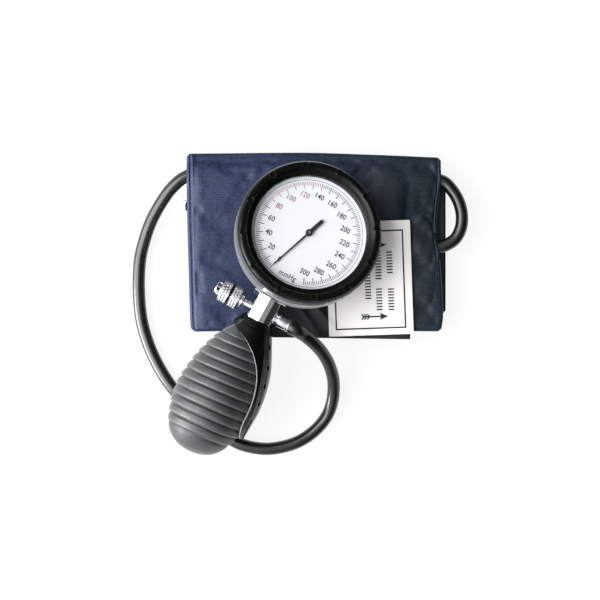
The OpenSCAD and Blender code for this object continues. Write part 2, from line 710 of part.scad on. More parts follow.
module inlet_valve_body() color("#c9cbcd") in_bulb() difference() {
  rod(inlet_z, inlet_len, inlet_r);
  rod(inlet_z - cut, inlet_len + 2 * cut, air_r);
  rod(inlet_z + inlet_lip, inlet_chamber_len, inlet_chamber_r);
  rod(inlet_z + inlet_len - inlet_face_t, inlet_face_t + cut, inlet_face_r);
}

module inlet_valve_disc() color("#7a3b2c") in_bulb()
  rod(inlet_z + inlet_lip + inlet_chamber_len - layer_gap - disc_t, disc_t, inlet_chamber_r - disc_gap);

module inlet_screen() color("#a8a9ab") in_bulb() difference() {
  rod(inlet_z + inlet_len - inlet_face_t, screen_t, inlet_face_r);
  for (i = [0 : 5]) rotate([0, 0, 60 * i]) translate([inlet_face_r / 2, 0, 0])
    rod(inlet_z + inlet_len - inlet_face_t - cut, screen_t + 2 * cut, 0.45);
}

// ---- Hose ----

hose_line = concat(
  [hand_point([block_half + connector_len, -valve_y, 0]),
    hand_point([block_half + connector_len + hose_straight, -valve_y, 0])],
  hose_route, [[bladder_right + port_len, port_y, hose_in_z]]);
function unit(v) = v / norm(v);
function hose_ring(i) =
  let (n = len(hose_line), p = hose_line[i],
    ahead = unit(hose_line[min(i + 1, n - 1)] - hose_line[max(i - 1, 0)]),
    side = unit(cross([0, 0, 1], ahead)),
    up = cross(ahead, side))
  [for (k = [0 : hose_sides - 1]) let (a = 360 * k / hose_sides)
    p + hose_d / 2 * (cos(a) * side + sin(a) * up)];
module hose() color("#131415") laid() lofted([for (i = [0 : len(hose_line) - 1]) hose_ring(i)]);

// ---- Cuff ----

module cuff_lower_fold() color("#2f3c66") laid()
  plate([cuff_left + 0.8, cuff_front + 0.8, 0], cuff_w - 1.6, cuff_h - 1.6, lower_t, corner_r);

module cuff_inner_fold() color("#141516") laid() difference() {
  plate([cuff_left + 2, cuff_front + 10, inner_z], cuff_w - 2 + inner_out, cuff_h - 21, inner_t, corner_r);
  slab([cuff_left, bar_y - bar_w / 2 - bar_slot, inner_z - cut],
    [bar_len + bar_slot, bar_w + 2 * bar_slot, inner_t + 2 * cut]);
}

module cuff_upper_fold() color("#35437a") laid() difference() {
  plate([cuff_left, cuff_front, upper_z], cuff_w, cuff_h, cuff_t - upper_z, corner_r);
  slab([cuff_left - cut, channel_back - channel_w, upper_z - cut],
    [cuff_w + 2 * cut, channel_w, hose_d + hose_room + cut]);
  slab([pocket_left, pocket_front, pocket_z], [pocket_w, pocket_h, pocket_t]);
  slab([pocket_left + pocket_w - cut, port_y - port_w / 2, upper_z - cut],
    [cuff_w, port_w, hose_d + hose_room + cut]);
}

module cuff_flap() color("#17191b") laid() translate([flap_left + flap_w, cuff_front - flap_over, cuff_t])
  rotate([0, 0, flap_tilt]) plate([-flap_w, 0, 0], flap_w, flap_h, flap_t, 1.5);

module cuff_label() color("#ebe9e6") laid()
  translate([flap_left + flap_w, cuff_front - flap_over, cuff_t + flap_t])
  rotate([0, 0, label_tilt]) plate([label_out - label_w, label_up, 0], label_w, label_h, label_t, 0.4);

module bladder() color("#4a4c50") laid()
  plate([pocket_left + bladder_inset, pocket_front + bladder_inset, pocket_z + layer_gap],
    pocket_w - 2 * bladder_inset, pocket_h - 2 * bladder_inset, bladder_t, 6);

module bladder_port() color("#2a2b2d") laid() translate([bladder_right, port_y, hose_in_z])
  rotate([0, 90, 0]) tube(0, port_len, hose_d / 2 - 0.3, air_r);

module hook_tape() color("#1b1c1f") laid()
  plate([pocket_left + pocket_w - hook_gap - hook_w, pocket_front + hook_front, pocket_z + bladder_t + 4 * layer_gap],
    hook_w, hook_h, hook_t, 2);

module metal_bar() color("#b9bcc0") laid()
  translate([cuff_left - bar_out + bar_r, bar_y - bar_w / 2 + bar_r, bar_z]) {
  long = bar_len - 2 * bar_r;
  short = bar_w - 2 * bar_r;
  for (y = [0, short]) translate([0, y, 0]) rotate([0, 90, 0]) cylinder(h = long, r = bar_r);
  for (x = [0, long]) translate([x, 0, 0]) rotate([-90, 0, 0]) cylinder(h = short, r = bar_r);
  for (x = [0, long], y = [0, short]) translate([x, y, 0]) sphere(r = bar_r);
}

rear_case();
bezel_ring();
lens();
spacer_ring();
dial_plate();
pillars();
base_plate();
movement_screws();
bridge_posts();
bridge_plate();
capsule_base();
capsule();
push_pin();
rocking_shaft();
sector_gear();
sector_arbor();
pinion_arbor();
hairspring();
pointer();
pointer_hub();
gauge_stem();
stem_flange();
manifold_block();
valve_seat();
valve_neck();
valve_needle();
valve_knob();
valve_tip();
hose_connector();
hose_ferrule();
bulb_spigot();
outlet_valve_disc();
handle_spoon();
bulb();
inlet_valve_body();
inlet_valve_disc();
inlet_screen();
hose();
bladder_port();
bladder();
hook_tape();
cuff_lower_fold();
cuff_inner_fold();
cuff_upper_fold();
cuff_flap();
cuff_label();
metal_bar();
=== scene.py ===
"""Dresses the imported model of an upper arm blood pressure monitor.

Sizes in the classes are millimetres, in the frame of the sub-assembly that they belong to.
A Place turns them into the metres of the shared frame, so every finished object sits at the
origin with its place in its mesh.
"""

import json
import logging
from dataclasses import dataclass
from enum import Enum
from typing import Callable, ClassVar, Sequence

import bmesh
import bpy
import numpy as np
from mathutils import Matrix


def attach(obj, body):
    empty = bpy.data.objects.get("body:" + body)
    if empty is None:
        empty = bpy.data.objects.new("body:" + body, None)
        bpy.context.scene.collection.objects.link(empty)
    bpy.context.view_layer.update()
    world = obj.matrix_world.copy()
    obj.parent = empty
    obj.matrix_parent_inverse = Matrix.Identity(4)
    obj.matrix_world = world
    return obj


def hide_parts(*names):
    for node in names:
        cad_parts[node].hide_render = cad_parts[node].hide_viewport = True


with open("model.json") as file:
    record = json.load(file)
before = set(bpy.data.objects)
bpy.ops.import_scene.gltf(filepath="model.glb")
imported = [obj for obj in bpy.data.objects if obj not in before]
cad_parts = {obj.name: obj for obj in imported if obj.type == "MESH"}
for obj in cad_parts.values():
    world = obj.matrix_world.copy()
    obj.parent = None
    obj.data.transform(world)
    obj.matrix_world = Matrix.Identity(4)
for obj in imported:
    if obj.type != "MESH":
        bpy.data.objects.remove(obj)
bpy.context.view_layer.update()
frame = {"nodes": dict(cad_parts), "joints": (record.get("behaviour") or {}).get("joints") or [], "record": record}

MM = 0.001
WHITE = (1.0, 1.0, 1.0, 1.0)
RELIEF = "relief"  # the mesh attribute, from 0 to 1, that some finishes tone by
LOG = logging.getLogger("monitor")
Array, Object = np.ndarray, bpy.types.Object
Pair, Triple = tuple[float, float], tuple[float, float, float]
Rows = tuple[tuple[float, ...], ...]
Tree, Node, Socket = bpy.types.NodeTree, bpy.types.Node, bpy.types.NodeSocket


class Body(Enum):
    """The moving bodies that a piece can ride on."""

    MONITOR = "monitor"
    POINTER = "pointer_train"
    KNOB = "release_knob"


class Side(Enum):
    """The two long edges of the cuff, as the sign of X on which each lies."""

    LEFT = -1
    RIGHT = 1


# ---- frames and arrays


def turn(axis: str, degrees: float) -> Array:
    """Rotation matrix about one axis.

    Args:
        axis: "x", "y" or "z".
        degrees: angle, anticlockwise when looking down the axis.

    Returns:
        A 3x3 array that turns column vectors.
    """
    c, s = np.cos(np.radians(degrees)), np.sin(np.radians(degrees))
    i = "xyz".index(axis)
    m = np.eye(3)
    j, k = (i + 1) % 3, (i + 2) % 3
    m[j, j], m[j, k], m[k, j], m[k, k] = c, -s, s, c
    return m


@dataclass(frozen=True)
class Place:
    """A frame of a sub-assembly: where its origin lies and how its axes are turned."""

    origin: Array
    axes: Array

    def put(self, points: Array) -> Array:
        """Points of this frame as points of the shared frame, in mm."""
        return self.origin + np.asarray(points, float) @ self.axes.T

    def at(self, offset: Sequence[float], *turns: Array) -> "Place":
        """A frame inside this one.

        Args:
            offset: its origin, in this frame.
            turns: rotations, applied in the order they are written in.

        Returns:
            The new frame.
        """
        axes = self.axes
        for one in turns:
            axes = axes @ one
        return Place(self.put(np.array(offset, float)), axes)


def smooth_step(x: Array, low: float, high: float) -> Array:
    """Eased ramp 3t^2 - 2t^3, where t goes from 0 at low to 1 at high and is held outside."""
    t = np.clip((x - low) / (high - low), 0, 1)
    return t * t * (3 - 2 * t)


def unit_rows(rows: Array) -> Array:
    """Each row brought to length 1. A row of no length stays as it is."""
    return rows / np.maximum(np.linalg.norm(rows, axis=1, keepdims=True), 1e-9)


def square_to(ahead: Array) -> tuple[Array, Array]:
    """For each heading, the level direction across it, and the one square to both."""
    side = unit_rows(np.cross([0, 0, 1.0], ahead))
    return side, np.cross(ahead, side)


def travelled(line: Array) -> Array:
    """Distance along a line from its start to each of its points."""
    return np.concatenate([[0], np.cumsum(np.linalg.norm(np.diff(line, axis=0), axis=1))])


def placed_at(at: Array, along: Array, line: Array) -> Array:
    """Points of a line at the distances at, where along is what travelled() gives for it."""
    return np.stack([np.interp(at, along, line[:, k]) for k in range(line.shape[1])], axis=1)


def round_z(r: Array, a: Array, z: Array) -> Array:
    """(r cos a, r sin a, z), for arrays that broadcast together and angles in radians."""
    return np.stack(np.broadcast_arrays(r * np.cos(a), r * np.sin(a), z), axis=-1)


def hump(off: Array, wide: float) -> Array:
    """1 where off is 0, falling away on both sides as exp(-(off / wide)^2)."""
    return np.exp(-((off / wide) ** 2))


def softened(corners: Sequence[Sequence[float]], steps: int = 5) -> Array:
    """A section with rounded corners.

    Each corner (r, z, f) becomes the curve (1-t)^2 A + 2t(1-t) P + t^2 B, where P is the corner
    and A and B lie f before and after it on its two sides.

    Args:
        corners: rows of radius, height and rounding.
        steps: points on each corner.

    Returns:
        Rows of radius and height.
    """
    rows = np.array(corners, float)
    p, f = rows[:, :2], rows[:, 2:3]
    a = p + unit_rows(np.vstack([p[:1], p[:-1]]) - p) * f
    b = p + unit_rows(np.vstack([p[1:], p[-1:]]) - p) * f
    t = np.linspace(0, 1, steps)[None, :, None]
    curve = (1 - t) ** 2 * a[:, None] + 2 * t * (1 - t) * p[:, None] + t**2 * b[:, None]
    return curve.reshape(-1, 2)


def resampled(line: Array, step: float) -> Array:
    """The same line with points about step apart, its own corners among them.

    Args:
        line: rows of points.
        step: distance between the new points.

    Returns:
        Rows of points.
    """
    along = travelled(line)
    at = np.union1d(np.linspace(0, along[-1], int(along[-1] / step) + 2), along)
    return placed_at(at, along, line)


def flowing(knots: Array, per: int) -> Array:
    """Catmull-Rom curve through the knots, with per points between each two.

    Between knots b and c, with a before and d after, a point is half of
    2b + (c-a)t + (2a-5b+4c-d)t^2 + (3b-a-3c+d)t^3.

    Args:
        knots: rows of points.
        per: points between each two knots.

    Returns:
        Rows of points that end at the last knot.
    """
    k = np.asarray(knots, float)
    padded = np.vstack([2 * k[0] - k[1], k, 2 * k[-1] - k[-2]])
    a, b, c, d = (padded[i : len(k) - 1 + i, None] for i in range(4))
    t = np.linspace(0, 1, per, endpoint=False)[None, :, None]
    run = 0.5 * (2 * b + (c - a) * t + (2 * a - 5 * b + 4 * c - d) * t**2
                 + (3 * b - a - 3 * c + d) * t**3)
    return np.vstack([run.reshape(-1, k.shape[1]), k[-1:]])


def full_turn(steps: int) -> Array:
    """Evenly spaced angles round a whole turn, in radians, without its end."""
    return np.arange(steps) * 2 * np.pi / steps


def revolved(section: Array, steps: int | Array) -> Array:
    """A section turned about Z: (r, z) at angle a becomes (r cos a, r sin a, z).

    Args:
        section: rows of radius and height.
        steps: how many columns, or the angles themselves in radians.

    Returns:
        A grid of points, section rows by angle columns.
    """
    a = steps if isinstance(steps, Array) else full_turn(steps)
    return round_z(section[:, :1], a, section[:, 1:2])


def point_ring(z: float, a: Array) -> Array:
    """A row of a turned grid that has shrunk to the point z on the axis."""
    return revolved(np.array([[0, z]]), a)


def eased(at: Array, x: Sequence[float], y: Sequence[float]) -> Array:
    """Smooth curve through points that never overshoots them.

    It is a cubic Hermite curve whose slope at each point is the harmonic mean of the slopes on
    its two sides, and 0 where they differ in sign (Fritsch and Carlson).

    Args:
        at: where it is asked for.
        x: places of the given points, rising.
        y: their heights.

    Returns:
        The height at each of at.
    """
    x, y = np.asarray(x, float), np.asarray(y, float)
    d = np.diff(y) / np.diff(x)
    product = d[:-1] * d[1:]
    middle = np.where(product > 0, 2 * product / np.where(product > 0, d[:-1] + d[1:], 1.0), 0.0)
    m = np.concatenate([d[:1], middle, d[-1:]])
    at = np.clip(at, x[0], x[-1])
    i = np.clip(np.searchsorted(x, at, side="right") - 1, 0, len(x) - 2)
    h = x[i + 1] - x[i]
    t = (at - x[i]) / h
    return ((2 * t**3 - 3 * t**2 + 1) * y[i] + (t**3 - 2 * t**2 + t) * h * m[i]
            + (3 * t**2 - 2 * t**3) * y[i + 1] + (t**3 - t**2) * h * m[i + 1])


def tube_grid(line: Array, radius: float | Array, sides: int, closed: bool = False) -> Array:
    """Rings carried along a line: centre + radius (cos a side + sin a up).

    Side is the level direction across the line, and up is square to both.

    Args:
        line: points down the middle.
        radius: one radius, or one for each point.
        sides: points in each ring.
        closed: whether the line's end meets its start.

    Returns:
        A grid of points, line rows by ring columns.
    """
    ends = np.vstack([line[-1:], line, line[:1]]) if closed else line
    ahead = np.gradient(ends, axis=0)
    side, up = square_to(unit_rows(ahead[1:-1] if closed else ahead))
    a = full_turn(sides)[None, :, None]
    r = np.broadcast_to(radius, len(line))[:, None, None]
    return line[:, None] + r * (np.cos(a) * side[:, None] + np.sin(a) * up[:, None])


def quads(rows: int, cols: int, wrap_rows: bool = False, wrap_cols: bool = False) -> Array:
    """Corner numbers of the faces of a grid, row by row.

    Args:
        rows: rows of points.
        cols: columns of points.
        wrap_rows: whether the last row joins the first.
        wrap_cols: whether the last column joins the first.

    Returns:
        One row of four numbers for each face.
    """
    i, j = np.meshgrid(np.arange(rows if wrap_rows else rows - 1),
                       np.arange(cols if wrap_cols else cols - 1), indexing="ij")
    k, m = (i + 1) % rows, (j + 1) % cols
    return np.stack([i * cols + j, i * cols + m, k * cols + m, k * cols + j], axis=2).reshape(-1, 4)


def linked(name: str, data: bpy.types.ID) -> Object:
    """A new object in the scene.

    Args:
        name: the object's name.
        data: its mesh, camera or lamp.

    Returns:
        The object.
    """
    made = bpy.data.objects.new(name, data)
    bpy.context.scene.collection.objects.link(made)
    return made


def shell(points: Array, faces: Array, name: str, sharp: float = 40.0,
          closed: bool = True) -> Object:
    """A mesh object from arrays.

    Args:
        points: corners in mm, in the shared frame.
        faces: corner numbers.
        name: the object's name.
        sharp: edges that bend more than this many degrees stay crisp.
        closed: whether the mesh bounds a solid, whose faces are then turned outwards.

    Returns:
        The object, linked to the scene.
    """
    mesh = bpy.data.meshes.new(name)
    mesh.from_pydata((np.asarray(points).reshape(-1, 3) * MM).tolist(), [],
                     faces.tolist() if isinstance(faces, Array) else faces)
    if closed:
        work = bmesh.new()
        work.from_mesh(mesh)
        bmesh.ops.remove_doubles(work, verts=work.verts, dist=2e-7)
        bmesh.ops.recalc_face_normals(work, faces=work.faces)
        work.to_mesh(mesh)
        work.free()
    mesh.shade_smooth()
    mesh.set_sharp_from_angle(angle=np.radians(sharp))
    return linked(name, mesh)


def grid_shell(grid: Array, place: Place, name: str, wrap_rows: bool = False,
               sharp: float = 40.0) -> Object:
    """A closed mesh object from a grid of points in place's frame, round along its columns."""
    return shell(place.put(grid), quads(*grid.shape[:2], wrap_rows, True), name, sharp)


def box_grid(us: Array, vs: Array, ws: Array) -> tuple[Array, Array]:
    """The skin of a block, as six grids over the cube from -1 to 1.

    Args:
        us: places of the grid lines along X.
        vs: the same along Y.
        ws: the same along Z.

    Returns:
        The points, and the faces that join them. Its edges are doubled until they are merged.
    """
    lines = (us, vs, ws)
    points, faces, count = [], [], 0
    for axis in range(3):
        a, b = (lines[(axis + 1) % 3], lines[(axis + 2) % 3])
        for side in (-1.0, 1.0):
            p, q = np.meshgrid(a, b, indexing="ij")
            cell = np.empty((*p.shape, 3))
            cell[..., axis], cell[..., (axis + 1) % 3], cell[..., (axis + 2) % 3] = side, p, q
            points.append(cell.reshape(-1, 3))
            faces.append(quads(len(a), len(b))[:, :: int(side)] + count)
            count += p.size
    return np.vstack(points), np.vstack(faces)


def rounded_block(unit: Array, half: Array, edge: float, corner: float) -> Array:
    """Points of the cube as points of a block with rounded edges and rounded plan corners.

    A point's offset d from the block shrunk by the edge radius becomes d |d|max / |d|, which
    turns the square shell round. The same is then done in plan with the corner radius.

    Args:
        unit: points on the skin of the cube from -1 to 1.
        half: half size of the block.
        edge: radius of its edges.
        corner: radius of its corners in plan.

    Returns:
        The points, about the middle of the block.
    """
    p = unit * half

    def rounded(q: Array, limit: Array) -> Array:
        """The points q, turned round about the inner block whose half size is limit.

        Args:
            q: the points.
            limit: half size of the inner block.

        Returns:
            The moved points.
        """
        inner = np.clip(q, -limit, limit)
        d = q - inner
        return inner + d * np.abs(d).max(axis=1, keepdims=True) / np.maximum(
            np.linalg.norm(d, axis=1, keepdims=True), 1e-9)

    p = rounded(p, half - edge)
    p[:, :2] = rounded(p[:, :2], half[:2] - corner)
    return p


def close_lines(count: int, edge: float, per_edge: int) -> Array:
    """Grid lines from -1 to 1 that crowd into a rounded edge, a share of the half width wide."""
    crowd = 1 - edge * np.linspace(0, 1, per_edge, endpoint=False)
    return np.concatenate([-crowd, np.linspace(edge - 1, 1 - edge, count), crowd[::-1]])


def ripple(x: Array, y: Array, seed: int, length: float) -> Array:
    """Gentle uneven swell between about -1 and 1: the mean of sines that cross at odd angles.

    Args:
        x: places across.
        y: places along.
        seed: which fixed set of directions and phases is used.
        length: usual distance between crests.

    Returns:
        The height at each place.
    """
    rng = np.random.default_rng(seed)
    total = np.zeros(np.broadcast(x, y).shape)
    for _ in range(7):
        way, phase, scale = rng.uniform(0, np.pi), rng.uniform(0, 2 * np.pi), rng.uniform(0.6, 1.7)
        total += np.sin((x * np.cos(way) + y * np.sin(way)) * 2 * np.pi / (length * scale) + phase)
    return total / 3.2


# ---- finishes


def linear(code: str) -> tuple[float, float, float, float]:
    """An sRGB hex colour as linear light: c/12.92 below 0.04045, else ((c+0.055)/1.055)^2.4.

    Args:
        code: the colour, as "#rrggbb".

    Returns:
        Red, green, blue and a full alpha.
    """
    raw = np.array([int(code[i : i + 2], 16) / 255 for i in (1, 3, 5)])
    c = np.where(raw <= 0.04045, raw / 12.92, ((raw + 0.055) / 1.055) ** 2.4)
    return (float(c[0]), float(c[1]), float(c[2]), 1.0)


def fill(tree: Tree, node: Node, inputs: dict | Sequence) -> None:
    """Gives a node its inputs.

    Args:
        tree: the node tree.
        node: the node.
        inputs: for each input by name or number, or as a list for the first ones in order: a
            value, the socket that feeds it, or the node whose first live output does.
    """
    for key, value in inputs.items() if isinstance(inputs, dict) else enumerate(inputs):
        if isinstance(value, Node):
            value = next(output for output in value.outputs if output.enabled)
        if isinstance(value, Socket):
            tree.links.new(value, node.inputs[key])
        else:
            node.inputs[key].default_value = value


def add(tree: Tree, kind: str, inputs: dict | Sequence = (), **settings) -> Node:
    """Adds one node.

    Args:
        tree: the node tree.
        kind: the node's type, without its "ShaderNode" start.
        inputs: its inputs, as fill() takes them.
        settings: the node's own properties.

    Returns:
        The node.
    """
    node = tree.nodes.new("ShaderNode" + kind)
    for key, value in settings.items():
        setattr(node, key, value)
    fill(tree, node, inputs)
    return node


def colour_so_far(shader: Node) -> Socket:
    """The socket that gives the shader its colour now."""
    return shader.inputs["Base Color"].links[0].from_socket


def any_ray(tree: Tree, *kinds: str) -> Socket | Node:
    """1 for rays of any of some kinds, else 0.

    Args:
        tree: the node tree.
        kinds: outputs of the light path node.

    Returns:
        The socket, or the node whose output it is.
    """
    path = add(tree, "LightPath")
    found = path.outputs[kinds[0]]
    for kind in kinds[1:]:
        found = add(tree, "Math", [found, path.outputs[kind]], operation="MAXIMUM")
    return found


def per_metre(mm: float) -> float:
    """Noise scale, in repeats for each metre, that gives marks about mm across."""
    return 1000.0 / mm


def wave_scale(mm: float) -> float:
    """Wave texture scale whose bands repeat every mm: the node's sine turns 20 radians a unit."""
    return 2 * np.pi / 20 / (mm * MM)


@dataclass(frozen=True)
class Finish:
    """A plain coloured surface with a fine grain; the other finishes build on it."""

    name: str
    colour: str
    roughness: float = 0.5
    grain_mm: float = 0.8
    grain_depth_mm: float = 0.01
    mottle: float = 0.12
    mottle_mm: ClassVar[float] = 14.0

    def build(self) -> bpy.types.Material:
        """The material, made once and kept by name.

        Returns:
            The material.
        """
        known = bpy.data.materials.get(self.name)
        if known:
            return known
        made = bpy.data.materials.new(self.name)
        made.use_nodes = True
        tree = made.node_tree
        tree.nodes.clear()
        shader = add(tree, "BsdfPrincipled")
        self.dress(tree, shader, add(tree, "TexCoord").outputs["Object"])
        add(tree, "OutputMaterial", {"Surface": self.surface(tree, shader)})
        made.diffuse_color = linear(self.colour)
        return made

    def surface(self, tree: Tree, shader: Node) -> Node:
        """What the material's output shows: the shader itself, unless a finish mixes it."""
        return shader

    def dress(self, tree: Tree, shader: Node, coords: Socket) -> None:
        """Sets colour, roughness and grain. Other finishes call this, then add their own.

        Args:
            tree: the material's nodes.
            shader: its principled shader.
            coords: the coordinates that its patterns read.
        """
        self.tint(tree, shader, coords)
        self.rough(tree, shader, coords, 0.08)
        grain = add(tree, "TexNoise", {"Vector": coords, "Scale": per_metre(self.grain_mm),
                                       "Detail": 3.0})
        self.bump(tree, shader, grain)

    def tint(self, tree: Tree, shader: Node, coords: Socket) -> None:
        """Base colour with a soft mottle some millimetres across.

        Args:
            tree, shader, coords: as in Finish.dress().
        """
        patch = add(tree, "TexNoise", {"Vector": coords, "Scale": per_metre(self.mottle_mm),
                                       "Detail": 4.0})
        base = np.array(linear(self.colour))[:3]
        dark = (*(base * (1 - self.mottle)), 1.0)
        pale = (*np.minimum(base * (1 + self.mottle), 1), 1.0)
        mix = add(tree, "Mix", {0: patch, 6: dark, 7: pale}, data_type="RGBA")
        fill(tree, shader, {"Base Color": mix})

    def rough(self, tree: Tree, shader: Node, coords: Socket, spread: float,
              size_mm: float = 5.0) -> None:
        """Roughness that wanders by spread around its own value, in patches of size_mm.

        Args:
            tree, shader, coords: as in Finish.dress().
            spread: how far it wanders.
            size_mm: size of the patches.
        """
        low, high = max(self.roughness - spread, 0.02), self.roughness + spread
        patch = add(tree, "TexNoise", {"Vector": coords, "Scale": per_metre(size_mm),
                                       "Detail": 5.0})
        gloss = add(tree, "MapRange", [patch, 0.25, 0.75, low, high])
        fill(tree, shader, {"Roughness": gloss})

    def bump(self, tree: Tree, shader: Node, height: Socket | Node) -> None:
        """Raises the surface by the grain's depth where height is 1."""
        relief = add(tree, "Bump", {"Height": height, "Distance": self.grain_depth_mm * MM})
        fill(tree, shader, {"Normal": relief})


@dataclass(frozen=True)
class Moulded(Finish):
    """Injection-moulded plastic or rubber: even colour, a spark-eroded grain and its own gloss."""

    specular: float = 0.5
    coat: float = 0.0
    coat_roughness: float = 0.16
    sheen: float = 0.0

    def dress(self, tree: Tree, shader: Node, coords: Socket) -> None:
        """The plain finish, with a clear skin on polished pieces and a sheen on satin ones.

        Args:
            tree, shader, coords: as in Finish.dress().
        """
        super().dress(tree, shader, coords)
        fill(tree, shader, {"Specular IOR Level": self.specular, "Coat Weight": self.coat,
                            "Coat Roughness": self.coat_roughness, "Coat IOR": 1.8,
                            "Sheen Weight": self.sheen, "Sheen Roughness": 0.35})


@dataclass(frozen=True)
class RibbedRubber(Finish):
    """Matt latex rubber, with dust and a painted highlight on its lips and painted shade in its furrows."""

    lip_colour: str = "#6c6d6f"
    furrow_colour: str = "#0c0c0d"
    wear_mm: float = 2.2

    def dress(self, tree: Tree, shader: Node, coords: Socket) -> None:
        """The plain finish, toned by the relief that the mesh carries: painted shade at 0, dust and painted
        highlight at 1.

        Args:
            tree, shader, coords: as in Finish.dress().
        """
        super().dress(tree, shader, coords)
        relief = add(tree, "Attribute", attribute_name=RELIEF).outputs["Fac"]
        dust_and_highlight_noise = add(tree, "TexNoise", {"Vector": coords, "Scale": per_metre(self.wear_mm),
                                      "Detail": 6.0})
        # Dust and a painted highlight on the lips.
        high = add(tree, "MapRange", [relief, 0.55, 1.0])
        share = add(tree, "Math", [high, dust_and_highlight_noise], operation="MULTIPLY")
        top = add(tree, "Mix", {0: share, 6: colour_so_far(shader), 7: linear(self.lip_colour)},
                  data_type="RGBA")
        # Painted shade in the furrows.
        low = add(tree, "MapRange", [relief, 0.05, 0.42])
        both = add(tree, "Mix", {0: low, 6: linear(self.furrow_colour), 7: top}, data_type="RGBA")
        fill(tree, shader, {"Base Color": both, "Sheen Weight": 0.2, "Sheen Roughness": 0.5})


@dataclass(frozen=True)
class EdgedPlastic(Moulded):
    """Moulded plastic with a painted highlight: paler where the mesh marks its edge or outer wall."""

    edge_colour: str = "#8a8b8d"

    def dress(self, tree: Tree, shader: Node, coords: Socket) -> None:
        """The moulded finish, with a painted highlight that grows paler as the mesh's relief rises from 0 to 1.

        Args:
            tree, shader, coords: as in Finish.dress().
        """
        super().dress(tree, shader, coords)
        relief = add(tree, "Attribute", attribute_name=RELIEF).outputs["Fac"]
        # Painted highlight where the relief is high.
        both = add(tree, "Mix", {0: relief, 6: colour_so_far(shader), 7: linear(self.edge_colour)},
                   data_type="RGBA")
        fill(tree, shader, {"Base Color": both})


@dataclass(frozen=True)
class Metal(Finish):
    """Metal: plated, turned or rolled, with fine scratches that show in its gloss."""

    scratch_mm: float = 1.5

    def dress(self, tree: Tree, shader: Node, coords: Socket) -> None:
        """Full metal over the plain finish, with the roughness broken by scratches.

        Args:
            tree, shader, coords: as in Finish.dress().
        """
        super().dress(tree, shader, coords)
        fill(tree, shader, {"Metallic": 1.0})
        self.rough(tree, shader, coords, self.roughness * 0.5, self.scratch_mm)


@dataclass(frozen=True)
class GroovedMetal(Metal):
    """Plated metal with painted shade in its cuts: dark where the mesh marks a groove, else bright."""

    groove_colour: str = "#141412"

    def dress(self, tree: Tree, shader: Node, coords: Socket) -> None:
        """The metal, toned by the relief that the mesh carries: dark at 0, bright at 1.

        Args:
            tree, shader, coords: as in Finish.dress().
        """
        super().dress(tree, shader, coords)
        relief = add(tree, "Attribute", attribute_name=RELIEF).outputs["Fac"]
        # Painted shade in the grooves.
        both = add(tree, "Mix", {0: relief, 6: linear(self.groove_colour),
                                 7: colour_so_far(shader)}, data_type="RGBA")
        fill(tree, shader, {"Base Color": both})


@dataclass(frozen=True)
class WovenNylon(Finish):
    """Coated nylon cloth: a soft sheen, painted shine on the crowns of its ribs and painted shade between them.

    The real threads are 0.3 mm apart, too fine to show, so the ribs are drawn coarser.
    """

    rib_mm: float = 1.25
    dash_mm: float = 0.8
    dash_share: float = 0.16
    patch_mm: float = 24.0
    # Painted shade: the colour the cloth turns to along X, between far_from and far_to.
    far_colour: str = ""
    far_from: float = -0.03
    far_to: float = 0.055
    sheen: float = 0.1

    def weave(self, tree: Tree, coords: Socket) -> Node:
        """Height of the cloth: ribs along X that wander a little, broken into dashes.

        Args:
            tree: the material's nodes.
            coords: the coordinates that it reads.

        Returns:
            The node that gives the height.
        """
        drift = add(tree, "TexNoise", {"Vector": coords, "Scale": per_metre(30), "Detail": 2.0})
        bend = add(tree, "VectorMath", [drift.outputs["Color"], (0.003, 0.0025, 0.0)],
                   operation="MULTIPLY")
        cloth = add(tree, "VectorMath", [coords, bend], operation="ADD")
        rib = add(tree, "TexWave", {
            "Vector": cloth, "Scale": wave_scale(self.rib_mm), "Distortion": 3.0, "Detail": 3.0,
            "Detail Scale": 4.0}, bands_direction="Y")
        squeezed = add(tree, "VectorMath", [cloth, (0.5, 1.0, 1.0)], operation="MULTIPLY")
        dash = add(tree, "TexNoise", {"Vector": squeezed, "Scale": per_metre(self.dash_mm),
                                      "Detail": 4.0, "Roughness": 0.6})
        return add(tree, "Math", [rib.outputs["Fac"], self.dash_share, dash],
                   operation="MULTIPLY_ADD")

    def dress(self, tree: Tree, shader: Node, coords: Socket) -> None:
        """The weave as height, and in colour as painted shine on its crowns over painted shade in its furrows;
        painted shade turns its colour along X.

        Args:
            tree, shader, coords: as in Finish.dress().
        """
        self.rough(tree, shader, coords, 0.07, 9)
        height = self.weave(tree, coords)
        # Painted shade darkens the colour along X.
        across = add(tree, "SeparateXYZ", [coords]).outputs["X"]
        side = add(tree, "MapRange", [across, self.far_from, self.far_to])
        shaded_hue = add(tree, "Mix", {0: side, 6: linear(self.colour),
                                7: linear(self.far_colour or self.colour)}, data_type="RGBA")
        patch = add(tree, "TexNoise", {"Vector": coords, "Scale": per_metre(self.patch_mm),
                                       "Detail": 4.0})
        tone = add(tree, "MapRange", [patch, 0.3, 0.7, 0.88, 1.16])
        # Painted shine on the crowns of the ribs, painted shade in the furrows.
        crown_shine_and_furrow_shade = add(tree, "MapRange", [height, 0.4, 0.78, 0.4, 1.8])
        shade = add(tree, "Math", [tone, crown_shine_and_furrow_shade], operation="MULTIPLY")
        colour = add(tree, "VectorMath", {0: shaded_hue, "Scale": shade}, operation="SCALE")
        fill(tree, shader, {"Base Color": colour, "Specular IOR Level": 0.3,
                            "Sheen Weight": self.sheen, "Sheen Roughness": 0.35})
        self.bump(tree, shader, height)


